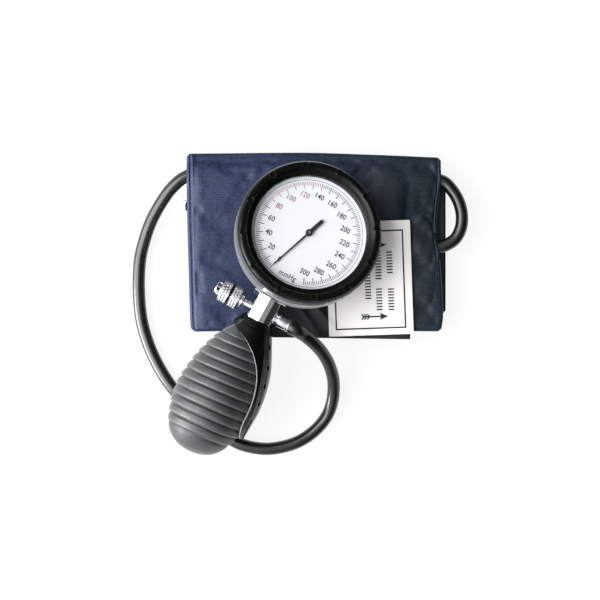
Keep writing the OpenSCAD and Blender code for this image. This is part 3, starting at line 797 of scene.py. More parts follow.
@dataclass(frozen=True)
class Pane(Finish):
    """Clear polished glass that lets the lamps through to the dial behind it."""

    def surface(self, tree: Tree, shader: Node) -> Node:
        """The glass, or nothing at all for the rays that carry light to the dial."""
        clear = add(tree, "BsdfTransparent", {"Color": (0.96, 0.97, 0.97, 1.0)})
        unseen = any_ray(tree, "Is Shadow Ray", "Is Diffuse Ray")
        return add(tree, "MixShader", [unseen, shader, clear])

    def dress(self, tree: Tree, shader: Node, coords: Socket) -> None:
        """Full transmission and the lowest roughness."""
        fill(tree, shader, {"Base Color": linear(self.colour), "Roughness": self.roughness,
                            "Transmission Weight": 1.0, "IOR": 1.2})


@dataclass(frozen=True)
class SatinRibbon(Finish):
    """Coated white satin tape, woven in fine ribs that run across it."""

    rib_mm: float = 1.1
    cross_mm: float = 0.8

    def dress(self, tree: Tree, shader: Node, coords: Socket) -> None:
        """The plain tone, with fine ribs and finer cross threads as height.

        Args:
            tree, shader, coords: as in Finish.dress().
        """
        self.tint(tree, shader, coords)
        self.rough(tree, shader, coords, 0.08)
        rib = add(tree, "TexWave", {"Vector": coords, "Scale": wave_scale(self.rib_mm),
                                    "Distortion": 0.5, "Detail": 2.0}, bands_direction="X")
        cross = add(tree, "TexWave", {"Vector": coords, "Scale": wave_scale(self.cross_mm),
                                      "Distortion": 1.0}, bands_direction="Y")
        height = add(tree, "Math", [rib.outputs["Fac"], cross.outputs["Fac"]], operation="ADD")
        self.bump(tree, shader, height)


# Satin ABS, moulded: dark, with a fine even grain that turns its lit side pale grey.
CASE_ABS = Moulded("case_black_abs", "#4a4b4e", 0.42, 0.5, 0.006, specular=0.8, sheen=0.3)
# Thermoplastic rubber, moulded: near black with a faint green cast and a soft shine, and a painted highlight on
# its outer wall.
RING_TPR = EdgedPlastic("ring_moulded_rubber", "#060807", 0.25, 0.6, 0.004, specular=0.17,
                        edge_colour="#4c4e51")
# High-gloss ABS: deep black under a clear skin that mirrors the lamps, with a painted highlight along its upper
# edge.
HANDLE_ABS = EdgedPlastic("handle_gloss_abs", "#0b0b0c", 0.22, 1.5, 0.002, specular=0.22)
# Extruded rubber tube: smooth, black, with a long shine down its length.
HOSE_RUBBER = Moulded("hose_extruded_rubber", "#080809", 0.3, 0.9, 0.004, specular=0.3, coat=0.5,
                      coat_roughness=0.27)
# Dipped latex rubber, dusty and matt, with painted shade in its furrows and a painted highlight on its lips.
BULB_RUBBER = RibbedRubber("bulb_latex_rubber", "#2b2c2e", 0.5, 0.5, 0.012)
# Bright chrome plate over brass: a mirror with hairline scratches.
CHROME = Metal("bright_chrome_plate", "#e4e6e8", 0.09, 0.4, 0.0015, 0.03)
# Knurled and plated brass: the same plate, softened by the rolled pattern, with painted shade in its cuts.
KNURLED_CHROME = GroovedMetal("knurled_chrome_plate", "#d2d4d6", 0.2, 0.3, 0.003, 0.05)
# Turned brass: warm, with fine tool marks.
BRASS = Metal("turned_brass", "#c79a4b", 0.28, 0.3, 0.004, 0.08)
# Pressed beryllium copper: reddish, with a soft even gloss.
COPPER = Metal("pressed_copper_alloy", "#b8734a", 0.3, 0.4, 0.004, 0.08)
# Ground steel: grey and bright, with fine scratches.
STEEL = Metal("ground_steel", "#b4b6b8", 0.25, 0.3, 0.004, 0.06)
# White enamel, printed: flat, even and slightly cold.
DIAL_ENAMEL = Finish("dial_white_enamel", "#efeef2", 0.45, 0.6, 0.002, 0.015)
# Pad-printed ink, matt: black, and a red that its thin marks turn pale.
BLACK_INK = Finish("printed_black_ink", "#18191c", 0.55, 0.4, 0.002, 0.1)
RED_INK = Finish("printed_red_ink", "#ab6d79", 0.55, 0.4, 0.002, 0.1)
# Stove-painted pointer, satin black.
POINTER_PAINT = Finish("pointer_satin_paint", "#141517", 0.4, 0.5, 0.003)
# Float glass, polished: clear, with faint reflections over the print.
LENS_GLASS = Pane("lens_clear_glass", "#fbfdff", 0.0)
# Moulded spacer under the lens: matt, so that it stays a dark line.
SPACER_BLACK = Finish("spacer_matt_black", "#101112", 0.6, 0.6, 0.006)
# Nylon cloth, navy, coated on the back: a soft shine and painted shine on its ribs, and painted shade that darkens
# it to the right.
CUFF_NYLON = WovenNylon("cuff_navy_nylon", "#1a2340", 0.45, 1.0, 0.1, far_colour="#0f1c27")
# The same cloth in black, for the turned-in side and the flap, with a grey sheen at a slant.
BLACK_NYLON = WovenNylon("cuff_black_nylon", "#17181d", 0.42, 1.0, 0.1, sheen=0.38)
# Bonded nylon thread: satin dashes, a little paler than the cloth.
NAVY_THREAD = Finish("navy_sewing_thread", "#2e3950", 0.5, 0.3, 0.01)
# Coated satin tape, woven: white, with fine ribs that soften its shine.
LABEL_SATIN = SatinRibbon("label_white_satin", "#f8f6f3", 0.5, 0.8, 0.03, 0.03)
# Grey latex sheet of the bladder and moulded red rubber of the valve discs, both matt.
BLADDER_LATEX = Moulded("bladder_grey_latex", "#4a4b4f", 0.5, 0.7, 0.01)
VALVE_RUBBER = Moulded("valve_red_rubber", "#7a3526", 0.55, 0.4, 0.01)
# Nylon hook tape, woven: rough and dull.
HOOK_NYLON = Finish("hook_tape_nylon", "#16171a", 0.7, 0.35, 0.08)

SLOT_FINISH = {"case_black": CASE_ABS, "ring_black": RING_TPR, "lens_clear": LENS_GLASS,
    "spacer_black": SPACER_BLACK, "dial_white": DIAL_ENAMEL, "brass": BRASS, "copper_alloy": COPPER,
    "steel": STEEL, "pointer_black": POINTER_PAINT, "chrome": CHROME, "valve_rubber": VALVE_RUBBER,
    "handle_black": HANDLE_ABS, "bulb_rubber": BULB_RUBBER, "hose_rubber": HOSE_RUBBER,
    "port_rubber": HOSE_RUBBER, "bladder_rubber": BLADDER_LATEX, "hook_tape": HOOK_NYLON,
    "cuff_blue": CUFF_NYLON, "cuff_black": BLACK_NYLON, "label_white": LABEL_SATIN}


def finished(piece: Object, finish: Finish, slot: str, *stands_for: str,
             body: Body = Body.MONITOR) -> None:
    """Gives a piece its finish and ties it to the frame.

    Args:
        piece: the mesh object.
        finish: its finish.
        slot: the record's material slot of the piece. It is not used.
        stands_for: CAD nodes that it is shown in place of.
        body: the body that it moves with.
    """
    piece.data.materials.clear()
    piece.data.materials.append(finish.build())
    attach(piece, body.value)
    if stands_for:
        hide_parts(*stands_for)
    LOG.info("%s: %d points, %s, rides on %s", piece.name, len(piece.data.vertices),
             finish.name, body.value)


def points_of(piece: Object) -> Array:
    """The points of a piece's mesh, in mm."""
    flat = np.empty(len(piece.data.vertices) * 3)
    piece.data.vertices.foreach_get("co", flat)
    return flat.reshape(-1, 3) / MM


def evaluated(piece: Object) -> Object:
    """A piece as its modifiers leave it at the current frame."""
    return piece.evaluated_get(bpy.context.evaluated_depsgraph_get())


def marked(piece: Object, place: Place, relief: Callable[[Array], Array]) -> None:
    """Stores a relief between 0 and 1 at every point of a piece, for the finishes that tone by it.

    Args:
        piece: the mesh object.
        place: the frame that the relief is worked out in.
        relief: gives the relief of an N x 3 array of points in that frame, in mm.
    """
    values = np.clip(relief((points_of(piece) - place.origin) @ place.axes), 0, 1)
    piece.data.attributes.new(RELIEF, "FLOAT", "POINT").data.foreach_set("value", values)


# ---- the studio


@dataclass
class Studio:
    """Camera, floor and lamps."""

    camera_x: float = -4.816
    camera_y: float = 2.13
    camera_height: float = 900.0
    focal: float = 96.3
    floor_half: float = 4000.0
    floor_z: float = -0.2
    floor_lit: str = "#727272"
    floor_seen: str = "#f4f4f4"
    floor_glow: float = 0.88
    top_at: Triple = (-0.95, -0.05, 0.98)
    top_size: Pair = (1.5, 1.5)
    top_power: float = 36.0
    side_at: Triple = (-1.15, -0.35, 0.22)
    side_size: Pair = (0.8, 0.5)
    side_power: float = 27.0
    sky_strength: float = 0.75
    sky_lean: Triple = (-0.85, -0.1, 0.38)
    sky_light: Pair = (0.05, 1.35)

    def camera(self) -> None:
        """A camera that looks straight down, with the far edge of the cuff at the top."""
        data = bpy.data.cameras.new("camera")
        data.lens, data.sensor_width, data.clip_end = self.focal, 36.0, 50.0
        made = linked("camera", data)
        made.location = (self.camera_x * MM, self.camera_y * MM, self.camera_height * MM)
        bpy.context.scene.camera = made

    def floor(self) -> None:
        """A white floor that keeps the shadow: where it is seen, light is mixed into matt white."""
        h, z = self.floor_half * MM, self.floor_z * MM
        mesh = bpy.data.meshes.new("floor")
        mesh.from_pydata([(-h, -h, z), (h, -h, z), (h, h, z), (-h, h, z)], [], [(0, 1, 2, 3)])
        made = linked("floor", mesh)
        material = bpy.data.materials.new("floor_white")
        material.use_nodes = True
        tree = material.node_tree
        tree.nodes.clear()
        seen = any_ray(tree, "Is Camera Ray", "Is Glossy Ray", "Is Transmission Ray")
        tone = add(tree, "Mix", {0: seen, 6: linear(self.floor_lit), 7: linear(self.floor_seen)},
                   data_type="RGBA")
        matt = add(tree, "BsdfDiffuse", {"Color": tone})
        glow = add(tree, "Emission", {"Color": WHITE, "Strength": 1.0})
        share = add(tree, "Math", [seen, self.floor_glow], operation="MULTIPLY")
        both = add(tree, "MixShader", [share, matt, glow])
        add(tree, "OutputMaterial", {"Surface": both})
        mesh.materials.append(material)

    def sky(self) -> None:
        """A soft studio all round: bright above and on the left, dim on the right and low down."""
        world = bpy.data.worlds.new("studio")
        world.use_nodes = True
        tree = world.node_tree
        tree.nodes.clear()
        way = add(tree, "TexCoord").outputs["Generated"]
        lean = add(tree, "VectorMath", [way, self.sky_lean], operation="DOT_PRODUCT")
        glow = add(tree, "MapRange", [lean, -0.25, 0.75, *self.sky_light],
                   interpolation_type="SMOOTHSTEP")
        power = add(tree, "Math", [glow, self.sky_strength], operation="MULTIPLY")
        studio = add(tree, "Background", {"Color": WHITE, "Strength": power})
        white = add(tree, "Background", {"Color": WHITE, "Strength": 1.0})
        seen = any_ray(tree, "Is Camera Ray")
        add(tree, "OutputWorld", {"Surface": add(tree, "MixShader", [seen, studio, white])})
        bpy.context.scene.world = world

    def lamp(self, name: str, at: Sequence[float], size: Sequence[float], power: float) -> None:
        """One soft rectangular lamp that faces the middle of the object.

        Args:
            name: name of the lamp.
            at: where it stands, in metres.
            size: its two sides, in metres.
            power: its power in watts.
        """
        data = bpy.data.lights.new(name, "AREA")
        data.shape, data.size, data.size_y, data.energy = "RECTANGLE", size[0], size[1], power
        made = linked(name, data)
        made.location = at
        back = unit_rows(np.array([at]))
        made.rotation_euler = Matrix(np.vstack([*square_to(back), back]).T.tolist()).to_euler()

    def build(self) -> None:
        """Makes the whole studio."""
        self.camera()
        self.floor()
        self.sky()
        self.lamp("top_softbox", self.top_at, self.top_size, self.top_power)
        self.lamp("side_softbox", self.side_at, self.side_size, self.side_power)
        bpy.context.scene.view_settings.view_transform = "Standard"


# ---- frames of the sub-assemblies


@dataclass
class Layout:
    """Where the gauge and the hand unit lie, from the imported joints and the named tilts."""

    hand_turn: float = 27.0
    gauge_pitch: float = 13.4
    gauge_roll: float = 3.1
    hand_yaw: float = 1.6
    bulb_slope: float = 11.0
    pointer_z: float = 21.3
    case_r: float = 38.8
    flange_t: float = 0.8
    stem_x: float = -2.0
    stem_z: float = 6.0
    block_half: float = 6.75
    block_len: float = 11.4
    valve_y: float = 6.6
    shift: Triple = (-4.816, 2.13, 0.0)

    def table(self) -> Place:
        """The layout on the table, whose zero lies off the middle of the footprint."""
        return Place(np.array(self.shift), np.eye(3))

    def gauge(self) -> Place:
        """Origin at the middle of the case's back, +Z towards the dial, +Y up the dial.

        Returns:
            The frame.
        """
        joint = next(j for j in frame["joints"] if j["name"] == "pointer_spin")
        axes = (turn("z", -self.hand_turn) @ turn("x", -self.gauge_pitch)
                @ turn("y", self.gauge_roll))
        return Place(np.array(joint["pos_m"]) / MM - axes @ [0, 0, self.pointer_z], axes)

    def hand(self) -> Place:
        """Origin where the manifold meets its flange, -Y towards the bulb, +X towards the hose.

        Returns:
            The frame.
        """
        return self.gauge().at((self.stem_x, -self.case_r - self.flange_t, self.stem_z),
                               turn("y", -self.gauge_roll), turn("x", self.gauge_pitch),
                               turn("z", -self.hand_yaw), turn("x", self.bulb_slope))

    def valve(self) -> Place:
        """Origin on the block's left face, +Z outwards along the release valve."""
        return self.hand().at((-self.block_half, -self.valve_y, 0), turn("y", -90))

    def port(self) -> Place:
        """Origin on the block's right face, +Z outwards along the hose connector."""
        return self.hand().at((self.block_half, -self.valve_y, 0), turn("y", 90))

    def bulb(self) -> Place:
        """Origin on the block's lower end, +Z along the bulb, +X towards the handle."""
        return self.hand().at((0, -self.block_len, 0), turn("x", 90))


LAYOUT = Layout()


# ---- hose


@dataclass
class Hose:
    """The rubber hose: from its connector round the bulb and through the cuff to the bladder."""

    diameter: float = 7.0
    sides: int = 28
    straight: float = 4.0
    connector_len: float = 9.75
    low: float = 3.6
    inside: float = 12.2
    barb_swell: float = 0.28
    barb_end: Pair = (7.0, 12.0)
    rim: float = 0.4
    rim_drop: float = 0.5
    per_knot: int = 7

    def knots(self) -> Array:
        """The route's points in the shared frame, in mm.

        Returns:
            Rows of points in the shared frame, in mm.
        """
        z, h = self.low, self.inside
        route = np.array([
            [1.5, -18.5, 36.5], [7, -23, 32.5], [12, -28.5, 27], [16, -35.5, 21], [18.5, -45, 14],
            [18, -56, 8], [14.5, -65.5, 4.6], [7, -74, z], [-3, -80, z], [-16, -83, z],
            [-28, -82, z], [-38, -78, z], [-51, -68, z], [-63, -58, z], [-72, -48, z],
            [-79, -37, z], [-84.5, -25, z], [-88.5, -11, z], [-90, 5, z], [-89.5, 21, z],
            [-87, 32.5, 4.6], [-82.5, 44.5, 7], [-76, 55.5, 9.8], [-70, 63, h - 0.8],
            [-63.5, 68, h], [-55, 69.5, h], [-15, 69.2, h], [25, 68.8, h], [65, 68, h],
            [78, 66, h], [83.5, 61.5, h], [87.5, 55, h], [89.5, 47.5, h], [89, 40, h],
            [86, 34, h], [81, 30.5, h], [76, 29, h], [70, 29, h]])
        port = LAYOUT.port()
        start = port.put([[0, 0, self.connector_len], [0, 0, self.connector_len + self.straight]])
        return np.vstack([start, LAYOUT.table().put(route)])

    def build(self) -> None:
        """A round tube along the route, a little swollen where it grips the barb."""
        line = flowing(self.knots(), self.per_knot)
        along = travelled(line)
        radius = self.diameter / 2 + self.barb_swell * (1 - smooth_step(along, *self.barb_end))
        radius = np.where(along < self.rim, radius - self.rim_drop * (1 - along / self.rim), radius)
        grid = tube_grid(line, radius, self.sides)
        ends = np.stack([np.broadcast_to(line[:1], (self.sides, 3)),
                         np.broadcast_to(line[-1:], (self.sides, 3))])
        grid = np.concatenate([ends[:1], grid, ends[1:]])
        piece = grid_shell(grid, Place(np.zeros(3), np.eye(3)), "rubber_hose", sharp=60)
        finished(piece, HOSE_RUBBER, "hose_rubber", "hose")


# ---- gauge


@dataclass
class Gauge:
    """The round gauge: case, shock ring, printed dial and lens."""

    ring_r: float = 39.0
    neck_r: float = 35.2
    back_r: float = 23.8
    band_z: float = 11.0
    ring_z: float = 19.2
    front_z: float = 27.0
    lip_z: float = 24.4
    window_r: float = 31.0
    dimples: int = 12
    dimple_at: float = 36.0
    dimple_r: float = 1.5
    dimple_depth: float = 1.15
    dimple_wall: float = 0.32
    dimple_lip: float = 0.3
    dimple_reach: float = 2.4
    section_step: float = 0.22
    dial_z: float = 20.6
    circle_r: float = 29.3
    circle_half: float = 0.1
    tick_out: float = 28.2
    tick_in: float = 26.2
    tick_half: float = 0.15
    tick_step: int = 2
    long_tick_in: float = 24.4
    long_tick_half: float = 0.21
    long_tick_step: int = 10
    number_step: int = 20
    number_r: float = 21.3
    number_h: float = 2.9
    cap_share: float = 0.7
    narrowing: float = 0.86
    number_bold: float = 0.03
    unit_bold: float = 0.015
    unit_at: Pair = (0.2, -25.8)
    crowded_at: float = 215.0
    crowded_wide: float = 45.0
    crowded_in: float = 1.4
    crowded_turn: float = 2.9
    zero_at: float = -110.75
    sweep: float = 318.5
    full_scale: int = 300
    red_from: int = 80
    red_to: int = 140
    print_lift: float = 0.03

    def ring(self) -> None:
        """The shock ring: its section turned round the dial, with a round pit at each dimple.

        A point at a distance d from a dimple's middle goes down by its depth times an eased
        ramp from the pit's edge to its floor. A low raised lip runs round each pit.
        """
        section = softened([(self.neck_r, self.ring_z, 0), (self.ring_r - 0.1, self.ring_z, 0.3),
            (self.ring_r, self.front_z - 3.2, 0.8), (self.ring_r - 1.5, self.front_z, 1.1),
            (34.7, self.front_z, 0.35), (33.6, self.front_z - 1.1, 0.4),
            (self.window_r + 0.5, self.lip_z + 0.75, 0.3), (self.window_r, self.lip_z + 0.3, 0.1),
            (self.window_r, self.lip_z, 0), (self.neck_r, self.lip_z, 0)], 6)
        section = resampled(section, self.section_step)
        sector = 360 / self.dimples
        near = np.linspace(-self.dimple_reach, self.dimple_reach, 31)
        between = np.linspace(self.dimple_reach, sector - self.dimple_reach, 16)[1:-1]
        apart = np.concatenate([near, between])
        angles = (np.arange(self.dimples)[:, None] * sector + apart).ravel()
        grid = revolved(section, np.radians(angles))
        r = np.hypot(grid[..., 0], grid[..., 1])
        off = np.radians((angles + sector / 2) % sector - sector / 2)
        away = np.hypot(r * np.cos(off) - self.dimple_at, r * np.sin(off))
        pit = 1 - smooth_step(away, self.dimple_r - self.dimple_wall, self.dimple_r)
        on_top = grid[..., 2] > self.lip_z + 1.2
        lip = self.dimple_lip * hump(away - self.dimple_r - 0.2, 0.25)
        grid[..., 2] += (lip - self.dimple_depth * pit) * on_top
        piece = grid_shell(grid, LAYOUT.gauge(), "shock_ring", wrap_rows=True, sharp=50)
        # The outer wall carries a painted highlight.
        marked(piece, LAYOUT.gauge(), self.wall_relief)
        finished(piece, RING_TPR, "ring_black", "bezel_ring")

    def wall_relief(self, points: Array) -> Array:
        """1 on the ring's outer wall, where its painted highlight lies, 0 on its front and inside."""
        r = np.hypot(points[:, 0], points[:, 1])
        return smooth_step(r, self.ring_r - 1.0, self.ring_r - 0.2) * (
            1 - smooth_step(points[:, 2], self.front_z - 3.6, self.front_z - 1.8))

    def case(self) -> None:
        """The case: a rounded back, a band with a parting groove, and a neck under the ring."""
        case_r = LAYOUT.case_r
        a = np.radians(np.linspace(0, 90, 24))
        rounding = np.stack([self.back_r + (case_r - self.back_r) * np.sin(a),
                             self.band_z * (1 - np.cos(a))], axis=1)
        foot = np.array([[0, 0.7], [14.0, 0.7], [14.6, 0.6], [15.2, 0], [self.back_r, 0]])
        band = softened([(case_r, 12.6, 0.1), (case_r - 0.45, 12.85, 0.12),
                         (case_r - 0.45, 13.15, 0.12), (case_r, 13.4, 0.1),
                         (case_r, 18.9, 0.3), (self.neck_r, 19.1, 0.1),
                         (self.neck_r, self.lip_z, 0), (32.35, self.lip_z, 0), (32.35, 20.15, 0),
                         (29.6, 20.05, 0), (29.6, 18.6, 0), (35, 18.6, 0), (35, 12, 4),
                         (21, 2.2, 1), (0, 2.2, 0)])
        section = np.vstack([foot, rounding, band])
        piece = grid_shell(revolved(section, 200), LAYOUT.gauge(), "gauge_case", sharp=38)
        finished(piece, CASE_ABS, "case_black", "rear_case")

    def at_value(self, value: Array) -> Array:
        """Angle on the dial of a pressure, in radians: it runs clockwise from the empty mark."""
        return np.radians(self.zero_at - value * self.sweep / self.full_scale)

    def ticks(self, values: Array) -> tuple[Array, Array]:
        """One thin bar for each value: its corners lie half a width to each side of its ray.

        Args:
            values: pressures that get a mark.

        Returns:
            Points of the dial's plane and faces.
        """
        long = values % self.long_tick_step == 0
        inner = np.where(long, self.long_tick_in, self.tick_in)
        half = np.where(long, self.long_tick_half, self.tick_half)
        a = self.at_value(values)
        ray = np.stack([np.cos(a), np.sin(a)], axis=1)
        across = np.stack([-np.sin(a), np.cos(a)], axis=1) * half[:, None]
        corners = np.stack([ray * inner[:, None] - across, ray * self.tick_out - across,
                            ray * self.tick_out + across, ray * inner[:, None] + across], axis=1)
        flat = np.concatenate([corners.reshape(-1, 2), np.zeros((len(values) * 4, 1))], axis=1)
        return flat, np.arange(len(values) * 4).reshape(-1, 4)

    def circle(self) -> tuple[Array, Array]:
        """The thin printed circle outside the scale, as a flat ring."""
        a = full_turn(240)
        radii = np.array([[self.circle_r + self.circle_half], [self.circle_r - self.circle_half]])
        return round_z(radii, a, 0.0).reshape(-1, 3), quads(2, len(a), wrap_cols=True)[:, ::-1]

    def lettering(self, words: str, bold: float, at: Sequence[float]) -> tuple[Array, list]:
        """Plain upright figures as flat faces, centred on a point.

        Args:
            words: the figures.
            bold: how much their strokes are thickened, as a share of their height.
            at: their middle, in the dial's plane.

        Returns:
            Points of the dial's plane and faces.
        """
        curve = bpy.data.curves.new("figures", "FONT")
        curve.body, curve.size, curve.resolution_u = words, self.number_h / self.cap_share, 3
        curve.align_x, curve.space_character, curve.offset = "CENTER", 1.04, bold * self.number_h
        shown = bpy.data.objects.new("figures", curve)
        mesh = bpy.data.meshes.new_from_object(shown)
        flat = np.empty(len(mesh.vertices) * 3)
        mesh.vertices.foreach_get("co", flat)
        flat = flat.reshape(-1, 3)
        flat[:, 0] *= self.narrowing
        flat[:, :2] += np.array(at) - [0, self.number_h / 2]
        faces = [tuple(p.vertices) for p in mesh.polygons]
        bpy.data.objects.remove(shown)
        bpy.data.meshes.remove(mesh)
        bpy.data.curves.remove(curve)
        return flat, faces

    def printed(self, parts: Sequence[tuple[Array, Sequence]], name: str, ink: Finish) -> None:
        """Joins flat prints into one piece that lies just over the dial.

        Args:
            parts: for each print, points of the dial's plane and faces.
            name: name of the piece.
            ink: its finish.
        """
        points, faces, count = [], [], 0
        for flat, some in parts:
            points.append(flat)
            faces.extend(tuple(int(i) + count for i in face) for face in some)
            count += len(flat)
        flat = np.vstack(points) + [0, 0, self.dial_z + self.print_lift]
        piece = shell(LAYOUT.gauge().put(flat), faces, name, closed=False)
        finished(piece, ink, "dial_white")

    def scale(self) -> None:
        """The printed scale: circle, marks and figures, drawn in a little where they crowd."""
        values = np.arange(0, self.full_scale + 1, self.tick_step)
        red = (values >= self.red_from) & (values <= self.red_to)
        figures = {True: [], False: []}
        for value in range(0, self.full_scale + 1, self.number_step):
            inset = float(hump(value - self.crowded_at, self.crowded_wide))
            a = self.at_value(np.array(float(value))) - np.radians(self.crowded_turn) * inset
            at = (self.number_r - self.crowded_in * inset) * np.array([np.cos(a), np.sin(a)])
            in_red = self.red_from <= value < self.red_to
            figures[in_red].append(self.lettering(str(value), self.number_bold, at))
        unit = self.lettering("mmHg", self.unit_bold, self.unit_at)
        self.printed([self.circle(), self.ticks(values[~red]), *figures[False], unit],
                     "dial_scale_black", BLACK_INK)
        self.printed([self.ticks(values[red]), *figures[True]], "dial_scale_red", RED_INK)

    def build(self) -> None:
        """Makes every piece of the gauge."""
        self.ring()
        self.case()
        self.scale()


# ---- manifold and release valve


@dataclass
class Manifold:
    """The chrome block under the gauge, with its saddle and the hose connector."""

    corners: Rows = (
        (-1, 0.58), (-0.87, 0.83), (-0.68, 0.92), (0.06, 1), (0.5, 0.87), (0.9, 0.58), (1, 0.49),
        (1, -0.52), (0.52, -1), (-0.52, -1), (-1, -0.52))
    chamfer: float = 0.35
    saddle_half: float = 9.7
    saddle_h: float = 10.8
    neck_r: float = 2.5
    neck_len: float = 2.75
    ferrule_r: float = 3.5
    ferrule_len: float = 7.0
    core_r: float = 1.9

    def block(self) -> None:
        """A bar with sloped shoulders: its section repeated along -Y and drawn in at the lower end.

        The upper end is sheared by z tan(slope + pitch), so that it meets the saddle all over.
        """
        h, end = LAYOUT.block_half, -LAYOUT.block_len
        corners = np.array(self.corners)[::-1] * h
        rows = np.array([[0.5, 0], [0.5, 1.0], [end + self.chamfer, 1.0],
                         [end, 1 - self.chamfer / h], [end, 0]])
        tilt = np.tan(np.radians(LAYOUT.bulb_slope + LAYOUT.gauge_pitch)) * (rows[:, :1] > 0)
        grid = np.stack([corners[None, :, 0] * rows[:, 1:],
                         rows[:, :1] + tilt * corners[None, :, 1] * rows[:, 1:],
                         corners[None, :, 1] * rows[:, 1:]], axis=2)
        piece = grid_shell(grid, LAYOUT.hand(), "manifold_chrome_block", sharp=20)
        edge = piece.modifiers.new("edges", "BEVEL")
        edge.width, edge.segments, edge.limit_method = 0.25 * MM, 3, "ANGLE"
        edge.angle_limit, edge.harden_normals = np.radians(12), True
        finished(piece, CHROME, "chrome", "manifold_block")

    def flange(self) -> None:
        """The thin saddle that carries the block: a rounded plate bent round the case."""
        half = np.array([self.saddle_half, LAYOUT.flange_t / 2 + 0.1, self.saddle_h / 2])
        unit, faces = box_grid(close_lines(30, 0.04, 4), close_lines(2, 0.9, 3),
                               close_lines(12, 0.06, 4))
        soft = rounded_block(unit, half, 0.3, 2.0)
        r = LAYOUT.case_r + half[1] - 0.2 - soft[:, 1]
        a = np.arcsin(LAYOUT.stem_x / LAYOUT.case_r) + soft[:, 0] / LAYOUT.case_r
        bent = np.stack([r * np.sin(a), -r * np.cos(a), soft[:, 2] + LAYOUT.stem_z], axis=1)
        piece = shell(LAYOUT.gauge().put(bent), faces, "manifold_saddle", sharp=50)
        finished(piece, CHROME, "chrome", "stem_flange")

    def connector(self) -> None:
        """The hose connector: a thin neck, then a smooth collar with a groove near its end."""
        neck, low, r = self.neck_r, self.neck_len, self.ferrule_r
        end = low + self.ferrule_len
        section = softened([
            (0, -0.5, 0), (neck + 0.9, -0.5, 0), (neck + 0.9, 0.7, 0.2), (neck, 0.9, 0.1),
            (neck, low, 0.1), (r, low + 0.1, 0.3), (r, end - 1.9, 0.1), (r - 0.35, end - 1.75, 0.1),
            (r - 0.35, end - 1.35, 0.1), (r, end - 1.2, 0.1), (r, end - 0.1, 0.3),
            (self.core_r, end - 0.05, 0.1), (self.core_r, end + 1, 0), (0, end + 1, 0)])
        piece = grid_shell(revolved(section, 64), LAYOUT.port(), "hose_connector_collar")
        finished(piece, CHROME, "chrome", "hose_connector", "hose_ferrule")

    def build(self) -> None:
        """Makes every piece of the manifold."""
        self.block()
        self.flange()
        self.connector()


